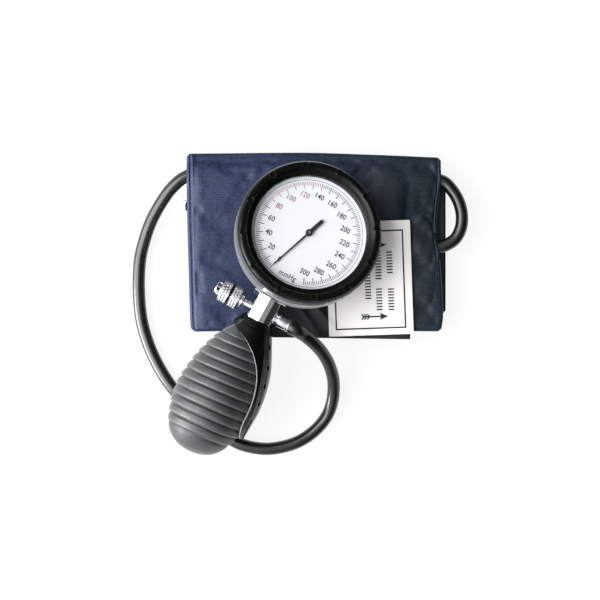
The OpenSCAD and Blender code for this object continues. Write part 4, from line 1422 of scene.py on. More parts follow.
@dataclass
class ReleaseValve:
    """The release valve: threaded neck, lock collar, knurled knob and slotted tip."""

    neck_r: float = 1.95
    neck_len: float = 5.0
    thread_pitch: float = 0.9
    thread_depth: float = 0.28
    collar_r: float = 3.85
    collar_t: float = 2.0
    knob_z: float = 7.15
    knob_len: float = 11.3
    knob_r: float = 6.25
    diamonds: int = 26
    knurl_depth: float = 0.36
    knob_edge: float = 0.75
    groove_half: float = 0.55
    groove_depth: float = 0.9
    tip_r: float = 3.4
    tip_len: float = 3.1
    windows: int = 6
    window_z: float = 1.45
    window_depth: float = 1.1

    def neck(self) -> None:
        """A screw: the radius falls by the thread's depth times a wave of z / pitch + a / turn."""
        z, a = np.linspace(0, self.neck_len, 64), full_turn(48)
        wave = 0.5 + 0.5 * np.cos(2 * np.pi * z[:, None] / self.thread_pitch + a[None])
        r = self.neck_r + 0.12 - self.thread_depth * (1 - wave**0.7)
        low, high = self.neck_len, self.neck_len + self.collar_t
        collar = softened([(self.collar_r - 0.7, low, 0.1), (self.collar_r, low + 0.35, 0.2),
                           (self.collar_r, high - 0.3, 0.2), (self.collar_r - 0.5, high, 0.1),
                           (0, high, 0)])
        grid = np.concatenate([point_ring(0.0, a), round_z(r, a, z[:, None]), revolved(collar, a)])
        piece = grid_shell(grid, LAYOUT.valve(), "valve_threaded_neck", sharp=50)
        # Painted shade at the root of the thread.
        marked(piece, LAYOUT.valve(), self.thread_relief)
        finished(piece, KNURLED_CHROME, "chrome", "valve_neck")

    def thread_relief(self, points: Array) -> Array:
        """1 on the crests and the collar, 0 at the root of the thread."""
        r = np.hypot(points[:, 0], points[:, 1])
        return (r - self.neck_r - 0.12 + self.thread_depth) / (0.8 * self.thread_depth)

    def knob(self) -> None:
        """The knurled barrel.

        The radius rises by the depth times the lesser of two triangle waves that climb the
        barrel to the left and to the right, and drops in the groove round its middle.
        """
        z, a = np.linspace(0, self.knob_len, 92), full_turn(self.diamonds * 10)
        pitch = 2 * np.pi * self.knob_r / self.diamonds

        def saw(x: Array) -> Array:
            """A triangle wave: 0 at whole numbers, 1 half way between them."""
            return np.abs(2 * (x - np.floor(x + 0.5)))

        round_, climb = a[None] * self.diamonds / (2 * np.pi), z[:, None] / pitch * 0.5
        peak = np.minimum(1, 1.25 * np.minimum(saw(round_ + climb) + saw(round_ - climb), 1))
        edge, middle = np.minimum(z, self.knob_len - z), np.abs(z - self.knob_len / 2)
        half = self.groove_half
        band = smooth_step(edge, 0.45, 0.9) * smooth_step(middle, half + 0.1, half + 0.5)
        body = self.knob_r - self.knob_edge * (1 - smooth_step(edge, 0.0, 0.55)) ** 2
        body = body - self.groove_depth * (1 - smooth_step(middle, half - 0.15, half + 0.12))
        r = body[:, None] - self.knurl_depth * band[:, None] * (1 - peak)
        grid = np.concatenate([point_ring(self.knob_z, a), round_z(r, a, z[:, None] + self.knob_z),
                               point_ring(self.knob_z + self.knob_len, a)])
        piece = grid_shell(grid, LAYOUT.valve(), "valve_knurled_knob", sharp=48)
        # Painted shade between the diamonds and in the middle groove.
        marked(piece, LAYOUT.valve(), self.knurl_relief)
        finished(piece, KNURLED_CHROME, "chrome", "valve_knob", body=Body.KNOB)

    def knurl_relief(self, points: Array) -> Array:
        """1 on the peaks of the diamonds and at the barrel's ends, 0 in the middle groove.

        Args:
            points: points in the valve's frame.

        Returns:
            The relief at each of them.
        """
        r = np.hypot(points[:, 0], points[:, 1])
        z = points[:, 2] - self.knob_z
        inside = smooth_step(np.minimum(z, self.knob_len - z), 0.2, 0.7)
        return 1 - inside * (1 - (r - self.knob_r + 1.15 * self.knurl_depth) / self.knurl_depth)

    def tip_relief(self, points: Array) -> Array:
        """0 on the floor of each window and in the tip's hole, 1 elsewhere.

        Args:
            points: points in the valve's frame.

        Returns:
            The relief at each of them.
        """
        r = np.hypot(points[:, 0], points[:, 1])
        z = points[:, 2] - self.knob_z - self.knob_len
        window = smooth_step(r, 1.6, 1.7) * smooth_step(z, 0.5, 0.7)
        inside = 1 - smooth_step(r, self.tip_r - 0.9, self.tip_r - 0.15)
        return 1 - window * (1 - smooth_step(z, 2.3, 2.5)) * inside

    def tip(self) -> None:
        """The tip: a capped ring whose wall is pushed in at each of its square air windows."""
        z0 = self.knob_z + self.knob_len
        end = z0 + self.tip_len
        section = softened([(0, z0 - 0.2, 0), (self.tip_r, z0 - 0.2, 0), (self.tip_r, end, 0.35),
                            (1.3, end, 0.1), (1.1, end - 0.9, 0.1), (0, end - 0.9, 0)])
        a = full_turn(180)
        grid = revolved(resampled(section, 0.16), a)
        step = 2 * np.pi / self.windows
        off = np.abs((a + step / 2) % step - step / 2) * self.tip_r
        rise = np.abs(grid[..., 2] - (z0 + self.window_z))
        slot = (1 - smooth_step(off, 0.6, 0.8))[None] * (1 - smooth_step(rise, 0.72, 0.9))
        r = np.hypot(grid[..., 0], grid[..., 1])
        shrink = np.where(r > self.tip_r - 0.4, 1 - self.window_depth * slot / self.tip_r, 1.0)
        grid[..., :2] *= shrink[..., None]
        piece = grid_shell(grid, LAYOUT.valve(), "valve_slotted_tip", sharp=48)
        # Painted shade on the floor of each window and in the tip's hole.
        marked(piece, LAYOUT.valve(), self.tip_relief)
        finished(piece, KNURLED_CHROME, "chrome", "valve_tip", body=Body.KNOB)

    def build(self) -> None:
        """Makes every piece of the valve."""
        self.neck()
        self.knob()
        self.tip()


# ---- bulb and handle


@dataclass
class BulbUnit:
    """The squeeze bulb, the handle that runs down its side, and the air inlet at its end."""

    start: float = 2.2
    length: float = 79.0
    radius: float = 22.9
    neck_r: float = 5.2
    rib_from: float = 13.6
    rib_to: float = 75.5
    rib_pitch: float = 5.25
    rib_lean: Pair = (0.1, 0.23)
    rib_shape: Rows = (
        (0, -1.05), (0.06, -0.86), (0.14, -0.5), (0.26, -0.22), (0.42, -0.06), (0.58, 0.06),
        (0.7, 0.16), (0.8, 0.24), (0.88, 0.16), (0.94, -0.5), (1.0, -1.05))
    dome_at: float = 76.0
    unevenness: float = 0.1
    crease_at: float = 40.0
    crease_turn: float = 12.0
    crease_wide: float = 4.5
    crease_h: float = 0.45
    hole_r: float = 1.5
    hole_wall: float = 0.45
    hole_depth: float = 0.9
    holes: Rows = ((9.6, 21), (19.6, 21), (29.2, 21), (38.8, 21), (49.6, 21))
    profile: Rows = (
        (0.0577, 0.252), (0.085, 0.44), (0.17, 0.655), (0.285, 0.815), (0.4, 0.93), (0.5, 0.985),
        (0.6, 1), (0.715, 0.965), (0.795, 0.885), (0.87, 0.79), (0.94, 0.635), (0.985, 0.42),
        (1, 0.22))
    stations: Rows = (
        (0.1, 7.8, 176), (1, 8.6, 176), (2, 9.2, 176), (3.4, 10, 175), (4.5, 10.7, 174),
        (6, 11.4, 172), (7, 11.9, 140), (8.4, 12.65, 108), (9.9, 13.4, 87), (12, 14.5, 73),
        (14.5, 15.8, 61), (18, 17.5, 51), (21, 18.9, 45), (25.3, 20.5, 39.3), (31.4, 22.2, 34.7),
        (36, 23.1, 32.6), (40.3, 23.75, 31.4), (46.7, 24.25, 31), (51.8, 24.15, 29.5),
        (56, 23.95, 25.5), (59, 23.8, 20.5), (61, 23.7, 13), (62, 23.7, 4))
    middle: float = 5.0
    wall: float = 0.95
    inlet_r: float = 4.15

    def rib(self, s: Array) -> Array:
        """Height of the ribs along the bulb: a band rising to a soft lip, then a narrow furrow.

        Args:
            s: distances along the bulb.

        Returns:
            The height at each of them.
        """
        phase = ((s - self.rib_from) / self.rib_pitch) % 1
        at, high = zip(*self.rib_shape)
        fade = smooth_step(s, self.rib_from - 0.5, self.rib_from + 0.4) * (
            1 - smooth_step(s, self.rib_to - 9, self.rib_to + 2))
        return np.interp(phase, at, high) * fade

    def lean(self, s: Array) -> Array:
        """How fully the ribs lean over at a distance along the axis: not at all at either end."""
        return smooth_step(s, 5, 17) * (1 - smooth_step(s, 70, 82))

    def bulb(self) -> None:
        """The rubber bulb: its profile turned about its axis, with ribs and a slight unevenness.

        A ring that belongs at s is sheared, so that its point (x, y) lies at
        s - lean (kx x + ky y): the mould's parting is not quite square to the axis.
        """
        knots = np.array(self.profile) * [self.length, self.radius] + [self.start, 0]
        curve = flowing(np.vstack([[self.start, self.neck_r], knots]), 24)
        end = self.start + self.length
        s = np.concatenate([np.arange(self.start, self.dome_at, 0.3),
                            np.linspace(self.dome_at, end, 30)])
        r = np.interp(s, curve[:, 0], curve[:, 1])
        a = full_turn(184)
        lift = self.rib(s)[:, None] + self.unevenness * ripple(s[:, None], a[None] * 14, 5, 22)
        wide = r[:, None] + lift * smooth_step(r, 4, 9)[:, None]
        x, y = wide * np.cos(a), wide * np.sin(a)
        along = s[:, None] - self.lean(s)[:, None] * (self.rib_lean[0] * x + self.rib_lean[1] * y)
        flat = np.interp(along, curve[:, 0], curve[:, 1]) / np.maximum(r, 1e-6)[:, None]
        grid = np.stack([x * flat, y * flat, along], axis=2)
        grid = np.concatenate([point_ring(self.start, a), grid, point_ring(end, a)])
        piece = grid_shell(grid, LAYOUT.bulb(), "ribbed_bulb", sharp=75)
        # The relief tones the rubber: painted shade in the furrows, dust and a painted highlight on the lips.
        marked(piece, LAYOUT.bulb(), self.rib_relief)
        finished(piece, BULB_RUBBER, "bulb_rubber", "bulb")

    def rib_relief(self, points: Array) -> Array:
        """0 in a furrow, 0.5 on a band and 1 on a lip, from each point's place along the bulb."""
        high = self.rib(points[:, 2] + self.lean(points[:, 2]) * (points[:, :2] @ self.rib_lean))
        return 0.5 + np.where(high < 0, high / 1.7, high / 0.6)

    def handle(self) -> None:
        """The handle: a thick arc with round rims, carried from its collar down the bulb's side.

        Each ring runs along the outer arc, round the rim, back along the inner arc and round the
        other rim. The radius rises in a crease at one angle and drops in each of the holes. The
        first and last rings close onto the wall's middle.
        """
        rows = np.array(self.stations)
        s = np.unique(np.round(np.concatenate([
            np.linspace(0.1, 12, 60), np.linspace(12, 58, 150), np.linspace(58, 62, 26)]), 4))
        radius = eased(s, rows[:, 0], rows[:, 1])[:, None]
        half = eased(s, rows[:, 0], rows[:, 2])[:, None]
        wall = self.wall + (radius - self.wall - 3.9) * (1 - smooth_step(s, 1.5, 2.3))[:, None]
        t = np.linspace(-1, 1, 110)[None]
        c = wall / 2
        rim = np.linspace(np.pi / 2, -np.pi / 2, 9)[None, 1:-1]
        outer, inner = self.middle + half * t, self.middle - half * t
        rim_a = half + np.degrees(c * np.cos(rim) / radius)
        angle = np.hstack([outer, self.middle + rim_a, inner, self.middle - rim_a])
        deep = np.hstack([0 * outer, c - c * np.sin(rim), 0 * inner + wall, c + c * np.sin(rim)])
        fade = smooth_step(s, 6, 18)[:, None] * (1 - smooth_step(s, 50, 60)[:, None])
        off = angle - self.crease_at + self.crease_turn * smooth_step(s, 14, 50)[:, None]
        crease = self.crease_h * hump(off, self.crease_wide) * fade
        out = radius - deep + crease
        for at, around in self.holes:
            away = np.hypot((s - at)[:, None], np.radians(angle - around) * radius)
            pit = 1 - smooth_step(away, self.hole_r - self.hole_wall, self.hole_r)
            out = out - self.hole_depth * pit * (deep < 0.1)
        ang = np.radians(angle)
        grid, shut = round_z(out, ang, s[:, None]), round_z(radius - c, ang, s[:, None])
        tip = grid[-1:].mean(axis=1, keepdims=True) + [[[0, 0, 0.3]]]
        grid = np.concatenate([shut[:1], grid, np.broadcast_to(tip, (1, *grid.shape[1:]))])
        piece = grid_shell(grid, LAYOUT.bulb(), "gloss_handle", sharp=50)
        # The upper edge carries a painted highlight.
        marked(piece, LAYOUT.bulb(), self.edge_relief)
        finished(piece, HANDLE_ABS, "handle_black", "handle_spoon")

    def edge_relief(self, points: Array) -> Array:
        """1 on the long edge that faces up from the bulb, where its painted highlight lies, 0 elsewhere.

        Args:
            points: points in the bulb's frame.

        Returns:
            The relief at each of them.
        """
        rows = np.array(self.stations)
        s = points[:, 2]
        half = eased(s, rows[:, 0], rows[:, 2])
        angle = np.degrees(np.arctan2(points[:, 1], points[:, 0]))
        return smooth_step(angle - self.middle - half, 0.2, 0.7) * smooth_step(s, 5, 9) * (
            1 - smooth_step(s, 60.5, 61.5))

    def inlet(self) -> None:
        """The chrome air inlet in the bulb's end, with a rolled rim and a recessed face."""
        end, r = self.start + self.length, self.inlet_r
        section = softened([
            (0, end - 6, 0), (r, end - 6, 0), (r, end - 0.5, 0.2), (r, end - 0.15, 0.2),
            (3.5, end - 0.1, 0.15), (3.2, end - 0.3, 0.1), (3.2, end - 1, 0.1), (0, end - 1, 0)])
        piece = grid_shell(revolved(section, 64), LAYOUT.bulb(), "air_inlet")
        finished(piece, CHROME, "chrome", "inlet_valve_body")

    def build(self) -> None:
        """Makes every piece of the bulb unit."""
        self.bulb()
        self.handle()
        self.inlet()


# ---- cuff


@dataclass(frozen=True)
class ClothRun:
    """How the upper fold is run as cloth: cell and cap in mm, slack as a share of its size."""

    cell: float = 4.5
    frames: int = 20
    cap: float = 0.45
    depth: float = 5.0
    slack: float = 0.014
    stretch: float = 12.0
    shear: float = 4.0
    bending: float = 0.8
    pressure: float = 4.0
    quality: int = 6
    mass: float = 0.002


@dataclass
class Cuff:
    """The folded cuff: three padded folds, the black flap, the label and the metal bar."""

    left: float = -61.7
    right: float = 77.3
    front: float = -17.5
    back: float = 80.0
    upper_z: float = 8.4
    top: float = 18.3
    full: float = 18.1
    shelf: float = 16.3
    hem: float = 1.9
    pad_right: float = 59.5
    pad_back: float = 75.2
    pad_corner: float = 14.0
    channel_y: float = 68.4
    port_y: float = 29.0
    channel_half: float = 6.4
    channel_top: float = 15.4
    layer_gap: float = 2.45
    pinch: float = 0.9
    gauge_at: Pair = (1.44, 31.75)
    gauge_reach: float = 41.0
    creases: Rows = ((69.5, 47.4, 75.5, 42.8, 0.8, -0.9), (65.0, 43.0, 74.0, 47.5, 2.2, 0.6),
        (75.0, 43.0, 77.0, 31.5, 0.7, -0.6), (61.5, 39.5, 64.0, 20.5, 2.6, -0.4),
        (70.0, 76.0, 76.0, 66.0, 1.6, -0.5), (-58.0, 70.0, -52.0, 60.0, 2.4, 0.35),
        (-48.0, 77.0, 20.0, 78.2, 1.1, -0.5), (66.0, -4.0, 74.0, -14.0, 2.5, -0.35))
    flap_left: float = -19.4
    flap_w: float = 80.0
    flap_h: float = 64.3
    flap_over: float = 4.1
    flap_t: float = 1.0
    flap_hem: float = 2.0
    flap_tilt: float = -0.8
    flap_folds: Rows = ((-52.0, 17.0, 2.6, 1.3), (-59.0, 14.0, 1.6, 0.7), (-46.5, 12.0, 1.3, 0.4))
    label_left: float = -44.5
    label_right: float = 2.0
    label_low: float = 3.0
    label_high: float = 65.6
    label_tilt: float = 2.0
    label_t: float = 0.3
    print_lift: float = 0.03
    border_half: float = 0.42
    border_box: tuple[float, float, float, float] = (-40.4, -2.4, 6.8, 60.1)
    index_columns: Rows = (
        (-23.9, 22.9, 44.0), (-17.9, 33.6, 49.6), (-17.9, 16.6, 29.0), (-11.6, 36.7, 49.2),
        (-11.4, 16.4, 28.4))
    index_size: Pair = (3.2, 0.75)
    index_pitch: float = 1.6
    arrows: Rows = ((-25.9, 13.2), (-25.6, 52.4))
    arrow_len: float = 14.3
    bar_long: float = 130.0
    bar_wide: float = 8.2
    bar_out: float = 3.4
    bar_y: float = 52.0
    bar_z: float = 6.8
    bar_corner: float = 1.8
    wire_r: float = 1.1

    def outline(self, x: Array, y: Array) -> tuple[Array, Array]:
        """Bends the cuff's straight sides: the right one bows in where the hose leaves it.

        Args:
            x: places across.
            y: places along.

        Returns:
            The bent places.
        """
        u = (x - self.left) / (self.right - self.left)
        v = (y - self.front) / (self.back - self.front)
        left = eased(y, (-17.5, -14, 20, 50, 80), (2.0, 1.2, 0.1, -0.7, -0.9))
        right = eased(y, (-17.5, -8, 7, 25, 37.4, 50, 65.5, 80),
                      (0.6, 1.7, 1.1, -0.3, -2.0, -1.4, 0.3, 0.5))
        back = eased(u, (0, 0.45, 0.75, 1), (0.8, 1.3, 0.1, -1.4))
        return x + left * (1 - u) + right * u, y + back * v + 0.25 * np.sin(u * 9) * (1 - v)

    def upper_top(self, x: Array, y: Array) -> Array:
        """Height of the upper fold: a flat hem, the domed pad, hose ridges and creases.

        The pad is a rectangle with rounded corners. The distance inside its edge goes through
        1 - (1 - d / reach)^2.4, so it rises steeply at the seam and then levels off.

        Args:
            x: places across.
            y: places along.

        Returns:
            The height at each place.
        """
        left, low = self.left + self.hem, self.front - 6.0
        cx, cy = (left + self.pad_right) / 2, (low + self.pad_back) / 2
        hx, hy = (self.pad_right - left) / 2, (self.pad_back - low) / 2
        corner = np.where((x > cx) & (y > cy), self.pad_corner, 2.0)
        dx, dy = np.abs(x - cx) - hx + corner, np.abs(y - cy) - hy + corner
        far = np.hypot(np.maximum(dx, 0), np.maximum(dy, 0)) - corner
        far = far + np.minimum(np.maximum(dx, dy), 0)
        reach = np.where(x > cx, 9.0, 7.0)
        over = 1 - (1 - np.clip(-far / reach, 0, 1)) ** 2.4
        hose = 0.8 * hump(y - self.channel_y, 5.5)
        hose = hose + hump(y - self.port_y, 5.0) * smooth_step(x, 58, 64)
        z = self.shelf + (self.full - self.shelf) * over + 1.1 * hose * (1 - over)
        wave = ripple(x, y, 11, 34) - 1
        z += 0.2 * wave * over + 0.3 * wave * (1 - over)
        for x0, y0, x1, y1, wide, high in self.creases:
            z = z + high * self.ridge(x, y, (x0, y0), (x1, y1), wide)
        seam = np.minimum(x - self.left, self.right - x)
        shallow = np.where(x < cx, 0.75, 0.12 + 0.35 * smooth_step(y, 18, 30))
        z -= shallow * hump(seam - self.hem, 0.42)
        z -= 0.5 * (1 - smooth_step(seam, 0.2, self.hem)) * (x < cx)
        z += 0.55 * hump(x - self.left - self.hem - 1.5, 0.9) * (0.7 + 0.3 * np.sin(y / 5))
        return np.minimum(z, self.top)

    def ridge(self, x: Array, y: Array, start: Sequence[float], end: Sequence[float],
              wide: float) -> Array:
        """A soft ridge along a line, a little bowed, that falls away across it and at its ends.

        Args:
            x: places across.
            y: places along.
            start: where the line starts.
            end: where it ends.
            wide: how far from the line its height falls to 1 / e.

        Returns:
            Its height at each place, at most 1.
        """
        way = np.subtract(end, start)
        long = float(np.hypot(*way))
        along = ((x - start[0]) * way[0] + (y - start[1]) * way[1]) / long
        across = ((y - start[1]) * way[0] - (x - start[0]) * way[1]) / long
        bow = across - 0.06 * along * (long - along) / max(long, 1.0)
        fade = 1 - smooth_step(along, long * 0.7, long + wide)
        return hump(bow, wide) * (smooth_step(along, -wide, long * 0.3) * fade)

    def upper_under(self, x: Array, y: Array) -> Array:
        """Underside of the upper fold: flat, but arched over the hose and the bladder's port.

        Args:
            x: places across.
            y: places along.

        Returns:
            The height at each place.
        """
        def arch(off: Array) -> Array:
            """A half circle over the channel: 1 at its middle, 0 from its edge outwards."""
            return np.sqrt(np.clip(1 - (off / self.channel_half) ** 2, 0, 1))

        rise = np.maximum(arch(y - self.channel_y), arch(y - self.port_y) * (x > 55))
        return self.upper_z + 0.05 + (self.channel_top - self.upper_z) * rise**0.8

    def fold(self, name: str, box: Sequence[float], z_from: float, z_to: float, layers: float,
             over: Callable | None, under: Callable | None, finish: Finish, slot: str,
             node: str, edge: float = 2.6, corner: float = 2.5, bends: float = 1.0) -> Object:
        """One padded fold as a closed block of cloth.

        The cube's skin is rounded, then stretched in height between the fold's underside and
        its top, and its sides are pinched where one layer of cloth lies on the next.

        Args:
            name: name of the piece.
            box: left, front, right and back.
            z_from: flat height of its underside.
            z_to: flat height of its top.
            layers: height of each layer that shows in its sides.
            over: height of its top at (x, y), or None where it is flat.
            under: the same for its underside.
            finish: its cloth.
            slot: its material slot.
            node: the CAD node that it stands for.
            edge: rounding of its edges.
            corner: rounding of its corners in plan.
            bends: how far its sides follow the cuff's bent outline, from 0 to 1.

        Returns:
            The piece.
        """
        lowest, highest = np.array([*box[:2], z_from]), np.array([*box[2:], z_to])
        half, mid = (highest - lowest) / 2, (highest + lowest) / 2
        edge = min(edge, half[2])
        hem = 1 - np.arange(0.5, 4.2, 0.25) / half[0]
        across = np.union1d(close_lines(130, edge / half[0], 5), np.concatenate([-hem, hem]))
        unit, faces = box_grid(across, close_lines(110, edge / half[1], 6),
                               close_lines(max(int(half[2] * 2), 3), edge / half[2] * 0.999, 6))
        soft = rounded_block(unit, half, edge, corner)
        x0, y0 = soft[:, 0] + mid[0], soft[:, 1] + mid[1]
        share = (soft[:, 2] / half[2] + 1) / 2
        low = under(x0, y0) if under else z_from + 0.05 * (ripple(x0, y0, 3, 30) + 1)
        high = over(x0, y0) if over else z_to + 0.12 * (ripple(x0, y0, 7, 30) - 1)
        x, y = (bends * moved + (1 - bends) * still
                for moved, still in zip(self.outline(x0, y0), (x0, y0)))
        z = low + share * (high - low)
        rim = np.clip((np.abs(soft[:, :2]) - (half[:2] - edge)) / edge, 0, 1)
        out = rim.max(axis=1)
        phase = (z - z_from) / layers
        pinch = hump((phase - np.round(phase)) * layers, 0.32) * (phase > 0.4) * (z < high - 0.6)
        push = self.pinch * pinch * smooth_step(out, 0.75, 1.0)
        x = x - push * np.sign(soft[:, 0]) * (rim[:, 0] > 0.7)
        y = y - push * np.sign(soft[:, 1]) * (rim[:, 1] > 0.7)
        piece = shell(LAYOUT.table().put(np.stack([x, y, z], axis=1)), faces, name, sharp=80)
        finished(piece, finish, slot, node)
        return piece

    def under_load(self, x: Array, y: Array) -> Array:
        """0 where the gauge, the flap or a seam holds the upper fold, 1 where it is free.

        Args:
            x: places across.
            y: places along.

        Returns:
            The share at each place.
        """
        gauge = np.hypot(x - self.gauge_at[0], y - self.gauge_at[1]) - self.gauge_reach
        beside = np.maximum(np.abs(x - self.flap_left - self.flap_w / 2) - self.flap_w / 2,
                            y - self.front + self.flap_over - self.flap_h)
        edges = np.minimum(np.minimum(x - self.left, self.right - x) - self.hem,
                           np.minimum(y - self.front, self.back - y) - 1.5)
        return smooth_step(np.minimum(gauge, beside), 0.5, 7) * smooth_step(edges, 0.2, 3.5)

    def loose_block(self, run: ClothRun) -> Object:
        """A plain block of the upper fold's shape, remeshed into the coarse cells of the run.

        Args:
            run: how the cloth is run.

        Returns:
            The block.
        """
        size = [self.right - self.left, self.back - self.front, self.top - self.upper_z]
        half = np.array(size) / 2
        unit, faces = box_grid(close_lines(50, 0.05, 3), close_lines(36, 0.06, 3),
                               close_lines(3, 0.6, 3))
        soft = rounded_block(unit, half, 2.4, 1.6) + [self.left + half[0], self.front + half[1], 0]
        x, y, share = soft[:, 0], soft[:, 1], (soft[:, 2] / half[2] + 1) / 2
        z = self.upper_z + share * (self.upper_top(x, y) - self.upper_z)
        block = shell(LAYOUT.table().put(np.column_stack([x, y, z])), faces, "settling_cloth")
        cells = block.modifiers.new("cells", "REMESH")
        cells.mode, cells.voxel_size = "VOXEL", run.cell * MM
        block.data = bpy.data.meshes.new_from_object(evaluated(block))
        block.modifiers.clear()
        return block

    def settle(self, piece: Object, run: ClothRun = ClothRun()) -> None:
        """Runs the upper fold as slightly inflated cloth, and moves its fine mesh along.

        The coarse block runs as cloth with some slack, held at its underside, its seams and under
        its loads. Each fine point then moves by the mean of its four nearest coarse points
        weighted by 1 / (d^2 + 0.5), capped as cap tanh(m / cap).

        Args:
            piece: the fine mesh of the upper fold.
            run: how the cloth is run.
        """
        coarse = self.loose_block(run)
        origin = LAYOUT.table().origin
        still = points_of(coarse) - origin
        upper = still[:, 2] > self.top - run.depth
        free = self.under_load(still[:, 0], still[:, 1]) * upper
        held = coarse.vertex_groups.new(name="held")
        held.add(np.flatnonzero(free < 0.05).tolist(), 1.0, "REPLACE")
        cloth = coarse.modifiers.new("cloth", "CLOTH")
        rules = cloth.settings
        rules.quality, rules.mass = run.quality, run.mass
        rules.tension_stiffness = rules.compression_stiffness = run.stretch
        rules.shear_stiffness, rules.bending_stiffness = run.shear, run.bending
        rules.shrink_min, rules.vertex_group_mass = -run.slack, "held"
        rules.use_pressure, rules.uniform_pressure_force = True, run.pressure
        rules.effector_weights.gravity = 0.0
        cloth.point_cache.frame_start, cloth.point_cache.frame_end = 1, run.frames
        for step in range(1, run.frames + 1):
            bpy.context.scene.frame_set(step)
        move = (points_of(evaluated(coarse)) - origin - still)[upper]
        still = still[upper]
        bpy.context.scene.frame_set(1)
        bpy.data.objects.remove(coarse)
        fine = points_of(piece) - origin
        for some in np.array_split(np.flatnonzero(fine[:, 2] > self.top - run.depth), 40):
            away = ((fine[some, None, :2] - still[None, :, :2]) ** 2).sum(axis=2)
            near = np.argpartition(away, 4, axis=1)[:, :4]
            weight = 1 / (np.take_along_axis(away, near, axis=1) + 0.5)
            shift = (move[near] * weight[..., None]).sum(axis=1) / weight.sum(axis=1)[:, None]
            size = np.linalg.norm(shift, axis=1, keepdims=True)
            shift *= run.cap * np.tanh(size / run.cap) / np.maximum(size, 1e-9)
            fine[some] += shift * self.under_load(fine[some, 0], fine[some, 1])[:, None]
        LOG.info("upper fold settled: coarse points %d, largest move %.2f mm", len(still),
                 np.linalg.norm(move, axis=1).max())
        piece.data.vertices.foreach_set("co", ((fine + origin) * MM).ravel())
        piece.data.update()

    def seam(self, side: Side) -> None:
        """The stitches that hold the hem down along one long edge, in the seam's furrow.

        Args:
            side: which edge.
        """
        y = np.linspace(self.front + 4, self.back - 3, 240)
        edge = self.left if side is Side.LEFT else self.right
        x = np.full_like(y, edge - side.value * (self.hem - 0.1))
        z = self.upper_top(x, y) + 0.12
        line = np.column_stack([*self.outline(x, y), z])
        self.stitches(f"hem_stitches_{side.name.lower()}", line, 2.1, (0.75, 0.15, 0.12),
                      NAVY_THREAD, "cuff_blue")

    def stitches(self, name: str, line: Array, pitch: float, size: Triple,
                 thread: Finish, slot: str) -> None:
        """A row of stitches: one small flattened bead for each, along a line.

        A bead's points are (long cos p, wide sin p cos q, tall sin p sin q) on its own axes.

        Args:
            name: name of the piece.
            line: points of the seam, in the layout.
            pitch: distance from one stitch to the next.
            size: half length, half width and half height of a stitch.
            thread: its finish.
            slot: its material slot.
        """
        along = travelled(line)
        at = np.arange(pitch / 2, along[-1], pitch)
        spot = placed_at(at, along, line)
        ahead = unit_rows(placed_at(at + 0.1, along, line) - spot)
        side, up = square_to(ahead)
        long, wide, tall = size
        p, q = np.linspace(0, np.pi, 5)[:, None], full_turn(6)[None]
        bead = np.stack(np.broadcast_arrays(
            long * np.cos(p), wide * np.sin(p) * np.cos(q), tall * np.sin(p) * np.sin(q)),
            axis=2).reshape(-1, 3)
        basis = np.stack([ahead, side, up], axis=1)
        points = spot[:, None] + np.einsum("ba,nac->nbc", bead, basis)
        cell = quads(5, 6, wrap_cols=True)
        faces = (cell[None] + (np.arange(len(at)) * 30)[:, None, None]).reshape(-1, 4)
        piece = shell(LAYOUT.table().put(points.reshape(-1, 3)), faces, name, sharp=80)
        finished(piece, thread, slot)

    def flap_place(self, tilt: float) -> Place:
        """Origin at the flap's front right corner, +Z up from the top of the fold."""
        corner = (self.flap_left + self.flap_w, self.front - self.flap_over, self.top)
        return LAYOUT.table().at(corner, turn("z", tilt))

    def drape(self, x: Array, y: Array, tilt: float) -> Array:
        """How far the cloth lies from flat: down over its free edges, up in folds and a swell.

        Args:
            x: distance from the corner, negative to the left, on axes turned by tilt.
            y: distance from the front edge.
            tilt: turn of those axes on the table.

        Returns:
            The height to add.
        """
        a = np.radians(tilt - self.flap_tilt)
        across, up = x * np.cos(a) - y * np.sin(a), x * np.sin(a) + y * np.cos(a)
        front = -0.9 * (1 - smooth_step(up, 0, 7)) ** 2
        right = -0.5 * smooth_step(across, -6, 3)
        folds = sum(high * np.exp(-(((across - x0 + 0.75 * (up - y0)) / wide) ** 2
                                    + ((up - y0) / 12) ** 2))
                    for x0, y0, wide, high in self.flap_folds)
        return front + right + folds + 0.14 * (ripple(across, up, 31, 26) - 1)

    def cloth_sheet(self, name: str, x: Pair, y: Pair, z: float,
                    thick: float, tilt: float, finish: Finish, slot: str, node: str) -> Object:
        """A thin sheet that follows the drape.

        Args:
            name: name of the piece.
            x: its left and right, in the flap's frame.
            y: its front and back.
            z: flat height of its underside.
            thick: its thickness.
            tilt: its turn on the table.
            finish: its cloth.
            slot: its material slot.
            node: the CAD node that it stands for.

        Returns:
            The piece.
        """
        edge = thick / 2
        half = np.array([(x[1] - x[0]) / 2, (y[1] - y[0]) / 2, edge])
        mid = np.array([(x[0] + x[1]) / 2, (y[0] + y[1]) / 2, z + edge])
        unit, faces = box_grid(close_lines(72, edge / half[0], 3),
                               close_lines(64, edge / half[1], 3), close_lines(2, 0.98, 3))
        soft = rounded_block(unit, half, edge, 0.5) + mid
        soft[:, 2] += self.drape(soft[:, 0], soft[:, 1], tilt)
        piece = shell(self.flap_place(tilt).put(soft), faces, name, sharp=70)
        finished(piece, finish, slot, node)
        return piece

